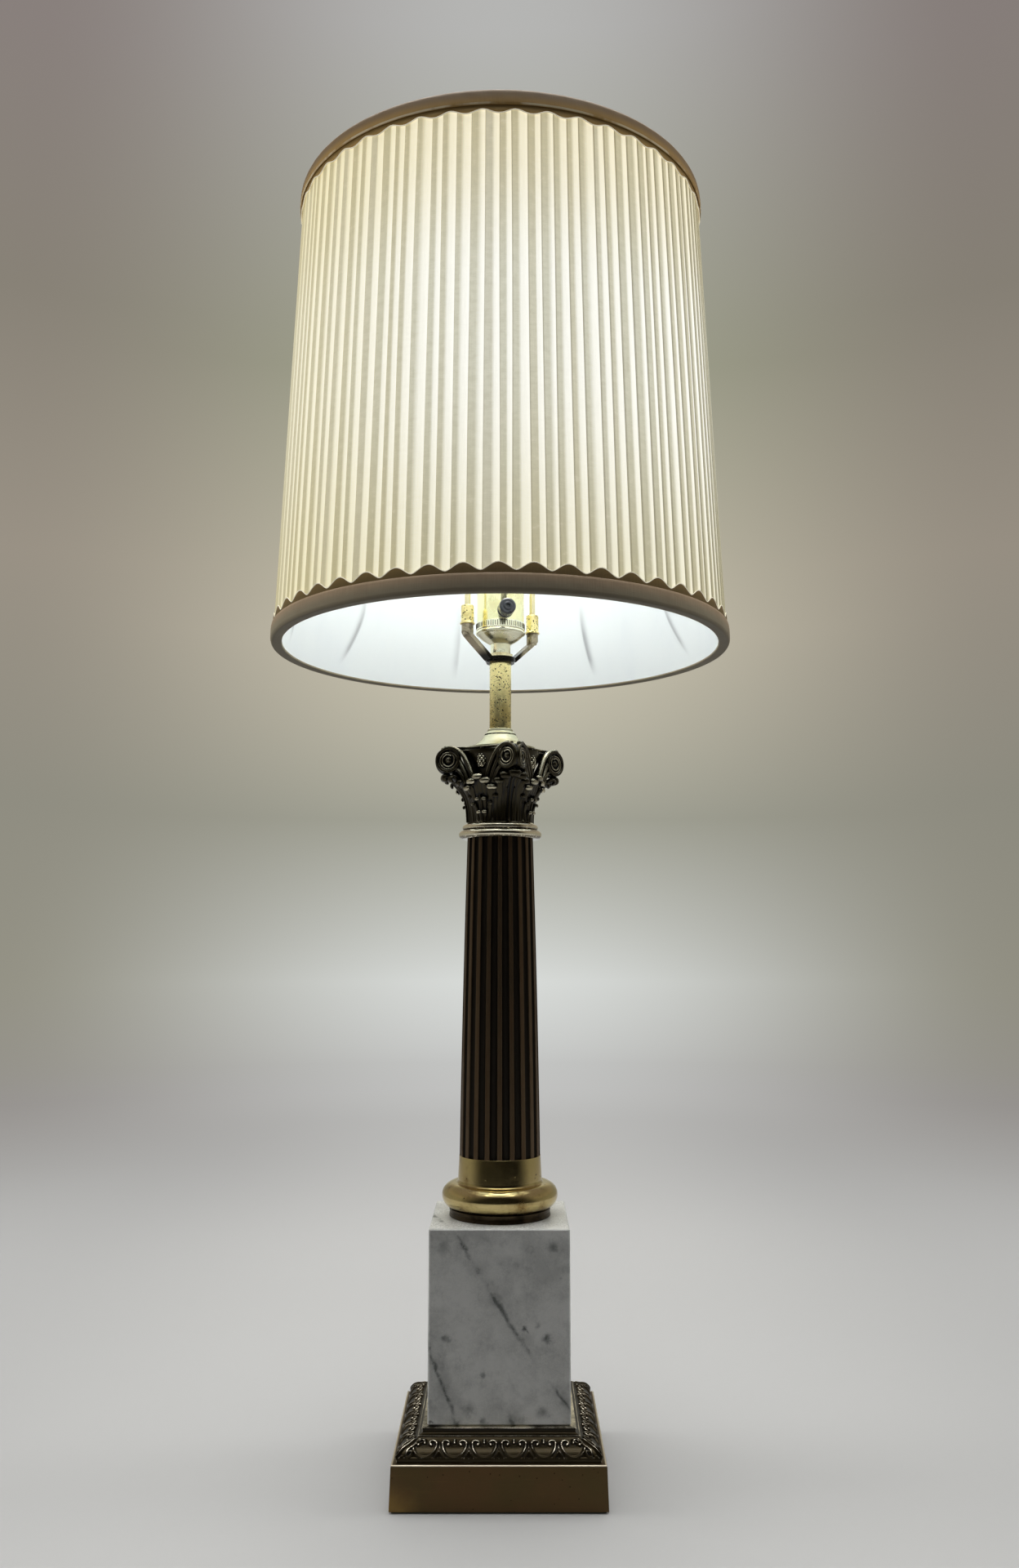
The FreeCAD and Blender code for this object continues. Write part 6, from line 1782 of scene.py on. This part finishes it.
    def build(self) -> None:
        """Builds the fittings."""
        pitted = Brass(
            "pitted_brass", (1, 0.86, 0.41), (0.6, 0.47, 0.18), 0.28, (0.44, 0.66), 60, 1300, 0.00012,
            0.64, 540,
        ).material()
        self.stack()
        self.holder(pitted)
        self.switch_knob()
        self.bulb()
        self.sleeves(pitted)
        self.knob_finial()


# ---- the shade
@dataclass
class Shade:
    """Frame, lining, pleated cover and the trims at both rims."""

    low: float = 579.55
    high: float = 923.55
    low_radius: float = 169.7
    high_radius: float = 153.95
    pleats: int = 104
    cover_depth: float = 2.2
    pleat_depth: float = 1.5
    overlap: Point = (0.4, 0.6)
    liner_depth: float = 7.55
    drawn_creases: Rows = (
        (136, 147.5, 1), (103.1, 104.8, 0.45), (64.5, 59.4, 1), (33.5, 19, 0.9), (-4, -16, 0.8),
        (-44, -50, 0.6), (-84, -86, 0.8), (-122, -117, 0.7), (-158, -150, 0.9),
        (168, 176, 0.6),
    )
    # Each row: place across, depth, share of single layer, and painted shadow at the fold.
    pleat: Rows = (
        (0, 0.38, 0, 0.9), (0.014, 0.1, 0, 0.55), (0.055, 0, 0, 0.04), (0.12, 0.03, 0, 0),
        (-1, 0.2, 0, 0), (-1.05, 0.3, 0.8, 0), (0.8, 0.42, 0.9, 0), (0.925, 0.52, 1, 0),
        (0.972, 0.56, 1, 0.1), (1, 0.6, 0.3, 1), (2, 0.92, 0, 1), (2.01, 0.98, 0, 1),
        (2, 0.76, 0, 1), (1.03, 0.46, 0, 1), (1, 0.38, 0, 0.9),
    )
    tape_profile: Rows = (
        (0.25, 1.8, 2), (1.4, 0, 1.3), (4.6, 0, 2), (8.55, 0.25, 1.4), (8.75, 1.7, 0.25),
        (8.4, 1.7, 0.15), (8.2, 1.2, 0.3), (1.4, 1.2, 0.9), (1.1, 4, 0),
    )
    braid_profile: tuple[Point, ...] = (
        (0, 1.45), (0.35, 1.38), (0.7, 1.34), (0.93, 1.36), (1, 1.5), (1, 1.75), (0.9, 1.9), (0, 1.9)
    )

    def radius(self, z: Array | float, depth: float = 0.0) -> Array | float:
        """The shade's radius at a height, a given depth below its outer face."""
        share = (z - self.low) / (self.high - self.low)
        return self.low_radius + (self.high_radius - self.low_radius) * share - depth

    def strip(self) -> Object:
        """One pleat's strip of cloth, flat. Its points carry their place across and their depth."""
        rows, count = 44, len(self.pleat)
        points = [(k * 1000, 0, v * 1000) for v in np.linspace(0, 1, rows) for k in range(count)]
        across, depth, thin, crease = np.tile(np.array(self.pleat).T, rows)
        numbers = {"across": across, "depth": depth, "thin": thin, "crease": crease}
        return Skin().add(np.array(points), grid_faces(rows, count), **numbers).object("pleated_cloth")

    def pleating(self, material: Material) -> Growth:
        """The tree that repeats the strip round the shade and folds it.

        Args:
            material: The cloth.

        Returns:
            The tree, with named inputs for its sizes.
        """
        g = Growth(
            "knife_pleats", "Pleats", "pleat", Pleats="Int", Low_Radius="Float", High_Radius="Float",
            Low="Float", High="Float", Depth="Float", Overlap_Least="Float", Overlap_Most="Float",
            Unevenness="Float", Seed="Int",
        )
        pleat, count = g.mark, g.input("Pleats")
        after = pleat + 1
        after = after - count * g.math("FLOOR", after / count)
        height = g.parts(g.place)[2]

        def edge(which: Value) -> Value:
            """How far one fold strays from its even place, in pleats."""
            wave = g.math("SINE", height * g.chance(2, 5.5, which, 3) + g.chance(0, 6.28, which, 4))
            return g.chance(-1, 1, which, 1) * g.input("Unevenness") + wave * 0.028

        def choose(test: Value, yes: Value, no: Value) -> Value:
            """yes where test is 1, else no."""
            return no + test * (yes - no)

        def between(name: str, share: Value) -> Value:
            """A size that goes from its low to its high value."""
            low, high = g.input("Low" + name), g.input("High" + name)
            return low + (high - low) * share

        here, there = edge(pleat), edge(after) + 1
        least, most = g.input("Overlap Least"), g.input("Overlap Most")
        lap, lap_after = g.chance(least, most, pleat, 2), g.chance(least, most, after, 2)
        soft = g.chance(0.03, 0.17, pleat, 5)
        share = g.number("across")
        visible = here + share * (there - here)
        thick = here + (lap - soft) * (there - here)
        loose = here + (lap + soft) * (there - here)
        under = there + (share - 1) * lap_after * 0.96
        along = choose(share > 1, under, visible)
        along = choose(share < -0.5, thick, along)
        along = choose(share < -1.02, loose, along) + pleat
        turn = along * (2 * pi) / count - pi / 2
        inside = share.at_least(0).at_most(1)
        ripple = g.math("SINE", height * 9 + pleat * 2.3) * 0.3 + g.chance(-0.5, 0.3, pleat, 6)
        fall = g.number("depth") * g.input("Depth") * (ripple * inside * (1 - inside) + 1)
        reach = between(" Radius", height) - fall
        cloth = g.moved(g.math("COSINE", turn) * reach, g.math("SINE", turn) * reach, between("", height))
        cloth = g.stored(cloth, "tone", g.chance(0, 1, pleat, 8), "FACE")
        g.close(g.node("GeometryNodeMergeByDistance", None, {0: cloth, "Distance": 0.00002}), material)
        return g

    def cover(self) -> Object:
        """Folds the cover."""
        low, high = self.low + 0.6, self.high - 0.6
        cloth = PleatedCloth("pleated_cream_cloth", 0.162, high * MM, 0.765).material()
        item = self.strip()
        sizes = {
            "Low Radius": self.radius(low, self.cover_depth),
            "High Radius": self.radius(high, self.cover_depth),
            "Low": low,
            "High": high,
            "Depth": self.pleat_depth * 1.25,
        }
        values = {
            "Pleats": self.pleats,
            "Overlap Least": self.overlap[0],
            "Overlap Most": self.overlap[1],
            "Unevenness": 0.13,
            "Seed": 11,
            **{name: size * MM for name, size in sizes.items()},
        }
        self.pleating(cloth).run(item, values)
        return settle(item, Body.SHADE, cloth, "pleated_cloth", "shade_cover")

    def lining(self) -> Object:
        """The white lining, drawn in along its creases."""
        low, high = self.low + 1.6, self.high + 0.1
        z = np.concatenate([np.linspace(low, 668, 52), np.linspace(668, high, 13)[1:]])[:, None]
        turn = np.linspace(0, 360, 1080, endpoint=False)[None, :]
        share = np.clip((642 - z) / 62, -0.35, 1)
        pull = mark = np.zeros((len(z), turn.size))
        for at_top, at_low, depth in self.drawn_creases:
            path = at_top + (at_low - at_top) * np.where(share > 0, np.abs(share) ** 1.5, share * 0.25)
            away = (turn - path + 180) % 360 - 180
            end = unit((z - low - 7) / 16) ** 1.5
            fade = unit((655 - z) / 30) * end * depth
            one_side = np.where(away * np.sign(at_low - at_top) > 0, 1.15, 0.32)
            # Painted shade along each drawn fold, wider on one side.
            mark = np.maximum(mark, np.exp(-((away / one_side) ** 2)) * fade)
            pull = pull + np.exp(-((away / 1.1) ** 2)) * fade * 0.8
        loose = 0.5 * np.sin(np.radians(turn * 9 + 40)) + 0.25 * np.sin(np.radians(turn * 23 + z * 0.6))
        reach = self.radius(z, self.liner_depth) - np.clip(pull + 0.35 + 0.35 * loose, 0, 0.55)
        skin = Skin().add(about(reach, np.radians(turn), z), grid_faces(*mark.shape, True), crease=mark)
        cloth = LiningCloth("white_lining").material()
        return settle(skin.object("lining_cloth"), Body.SHADE, cloth, "lining_cloth", "shade_liner")

    def tape(self, name: str, rim: float, inward: float, height: float, finish: TrimCloth) -> Object:
        """A padded tape folded over one rim.

        Args:
            name: The piece's and the node's name.
            rim: The rim's height.
            inward: 1 at the bottom rim, -1 at the top.
            height: How far the tape covers the cover.
            finish: Its cloth.

        Returns:
            The piece.
        """
        face = ((1.05, height, 0), (0.55, height - 0.1, 0.3), (0.15, height - 1.4, 1.2), (0, height * 0.55, 4))
        smooth = rounded(face + self.tape_profile, 5)
        skin = turned([(self.radius(rim + inward * h, d), rim + inward * h) for d, h in smooth], 360, True)
        points = skin.points[0]
        turn = np.arctan2(points[:, 1], points[:, 0])
        pucker = 0.03 * np.sin(turn * 61 + points[:, 2] * 0.6) + 0.03 * np.sin(turn * 23 + 1)
        skin.points[0] = points * np.stack([1 - pucker / 160, 1 - pucker / 160, np.ones(len(points))], 1)
        item = skin.object(name + "_tape", 0.001)
        return settle(item, Body.SHADE, finish.material(), "trim_taupe", name)

    def braid(
        self, name: str, rim: float, inward: float, trough: float, wave: float, count: int, finish: TrimCloth
    ) -> Object:
        """A flat braid whose waved edge shows beyond the tape, with a fine cord on it.

        Args:
            name: The piece's and the node's name.
            rim: The rim's height.
            inward: 1 at the bottom rim, -1 at the top.
            trough: The distance of the edge's hollows from the rim.
            wave: How far its crests stand beyond them.
            count: The number of crests.
            finish: Its cloth.

        Returns:
            The braid without its cord.
        """
        steps = count * 16
        turn = np.linspace(0, 2 * pi, steps, endpoint=False)
        phase = turn + pi / 2
        crest = (0.5 + 0.5 * np.cos(phase * count)) ** (0.8 if inward > 0 else 0.9)
        edge = trough + wave * crest + 0.18 * np.sin(phase * 7 + 1)
        tuck = 9.2 if inward > 0 else 7.4
        sections = (
            [(tuck + (edge - tuck) * share, depth) for share, depth in self.braid_profile],
            [(edge + 0.15 + 0.42 * cos(a), 1.55 - 0.42 * sin(a)) for a in np.arange(6) * pi / 3],
        )
        pieces = []
        for part, section in zip(("_wave", "_cord"), sections):
            rows = [(rim + inward * away, depth) for away, depth in section]
            grid = [about(self.radius(z, depth), turn, z) for z, depth in rows + rows[:1]]
            skin = Skin().add(np.array(grid), grid_faces(len(grid), steps, True))
            pieces.append(skin.object(name + part, 0.001))
        pale = (0.86, 0.8, 0.62)
        # Painted glow: the pale cord shines as if the bulb's light came through it.
        thread = TrimCloth(name + "_thread", 0.165, 0, 1, pale, pale, 0.45, glow=0.4)
        settle(pieces[1], Body.SHADE, thread.material(), "trim_gold")
        return settle(pieces[0], Body.SHADE, finish.material(), "trim_gold", name)

    def trims(self) -> list[Object]:
        """The tapes and braids of both rims."""
        low, high = self.low, self.high
        taupe = TrimCloth(
            "taupe_satin", 0.169, (low + 3) * MM, (low + 12) * MM, (0.38, 0.335, 0.225), (0.56, 0.4, 0.245)
        )
        bronze = TrimCloth(
            "bronze_satin", 0.155, (high - 2) * MM, (high - 9.1) * MM, (0.25, 0.17, 0.09), (0.62, 0.38, 0.115),
            0.46, line=(1, 0.85, 0.55),
        )
        dark = TrimCloth(
            "olive_braid", 0.168, (low + 12) * MM, (low + 19) * MM, (0.2, 0.135, 0.045), (0.31, 0.2, 0.065),
            0.55,
        )
        gold = TrimCloth(
            "gold_braid", 0.153, (high - 10) * MM, (high - 15) * MM, (0.3, 0.185, 0.05), (0.6, 0.375, 0.105),
            0.4,
        )
        return [
            self.tape("bottom_band", low, 1, 12, taupe),
            self.tape("top_band", high + 1.5, -1, 11.5, bronze),
            self.braid("bottom_braid", low, 1, 13.7, 5.3, 47, dark),
            self.braid("top_braid", high, -1, 12.4, 2.9, 44, gold),
        ]

    def build(self) -> None:
        """Builds the shade."""
        cover = self.cover()
        lining = self.lining()
        trims = self.trims()
        flat_width = cloth_length(cover) / 2 * MM
        slant = hypot(self.high - self.low, self.low_radius - self.high_radius) * MM
        flat_width * slant * 0.97
        mean = 2 * pi * self.radius(self.low, self.liner_depth) * MM


def cloth_length(item: Object) -> float:
    """The length of a mesh's open edges, in millimetres."""
    tool = bmesh.new()
    tool.from_mesh(item.data)
    total = sum(e.calc_length() for e in tool.edges if e.is_boundary)
    tool.free()
    return total / MM


# ---- dress the carried-over solids
def black_plastic() -> Material:
    """The glossy black of the switch knob, the bushing and the lampholder's core."""
    return Plain("black_plastic", (0.03, 0.032, 0.042), 0.24, coat=0.6, soil=(0.09, 0.09, 0.1)).material()


def dress_nodes(nodes: Mapping[str, Object]) -> None:
    """Gives every solid of the frame its finish. Those that no piece stands for are seen."""
    light = Brass("rod_brass", (0.86, 0.76, 0.47), (0.62, 0.5, 0.27), 0.2, pits=0.25, pit_scale=500)
    saddle = Brass("saddle_metal", (0.42, 0.36, 0.25), (0.12, 0.095, 0.06), 0.24, black_radius=0.0145)
    steel = Plain("plated_steel", (0.58, 0.57, 0.55), 0.32, 1)
    terminal = Plain("terminal_brass", (0.78, 0.62, 0.32), 0.3, 1)
    groups = (
        (light, "harp_wire saddle_nut"),
        (saddle, "saddle_washer harp_saddle"),
        (Marble("veined_marble"), "marble_block"),
        (Plain("bulb_cap_metal", (0.8, 0.8, 0.8), 0.28, 1), "bulb_tip bulb_base"),
        (Plain("green_felt", (0.06, 0.08, 0.055), 0.95, grain=2600, depth=0.0002), "base_felt"),
        (Plain("socket_card", (0.6, 0.5, 0.34), 0.85), "socket_liner"),
        (Plain("white_frame_wire", (0.8, 0.79, 0.74), 0.4), "shade_spider shade_bottom_ring shade_ribs"),
    )
    chosen = dict.fromkeys("cord_bushing socket_body bulb_insulator".split(), black_plastic())
    for finish, names in groups:
        chosen.update(dict.fromkeys(names.split(), finish.material()))
    plain, contact = steel.material(), terminal.material()
    for name, node in nodes.items():
        small = any(word in name for word in ("screw", "contact", "harp_stud"))
        node.data.materials.clear()
        node.data.materials.append(chosen.get(name, contact if small else plain))


def main() -> None:
    """Builds the scene."""
    logging.basicConfig(level=logging.INFO, format="%(message)s", stream=sys.stdout)
    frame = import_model()
    Studio().build()
    dress_nodes(frame["nodes"])
    SquareBase().build()
    Column().build()
    Capital().build()
    Fittings().build()
    Shade().build()


if __name__ == "__main__":
    main()
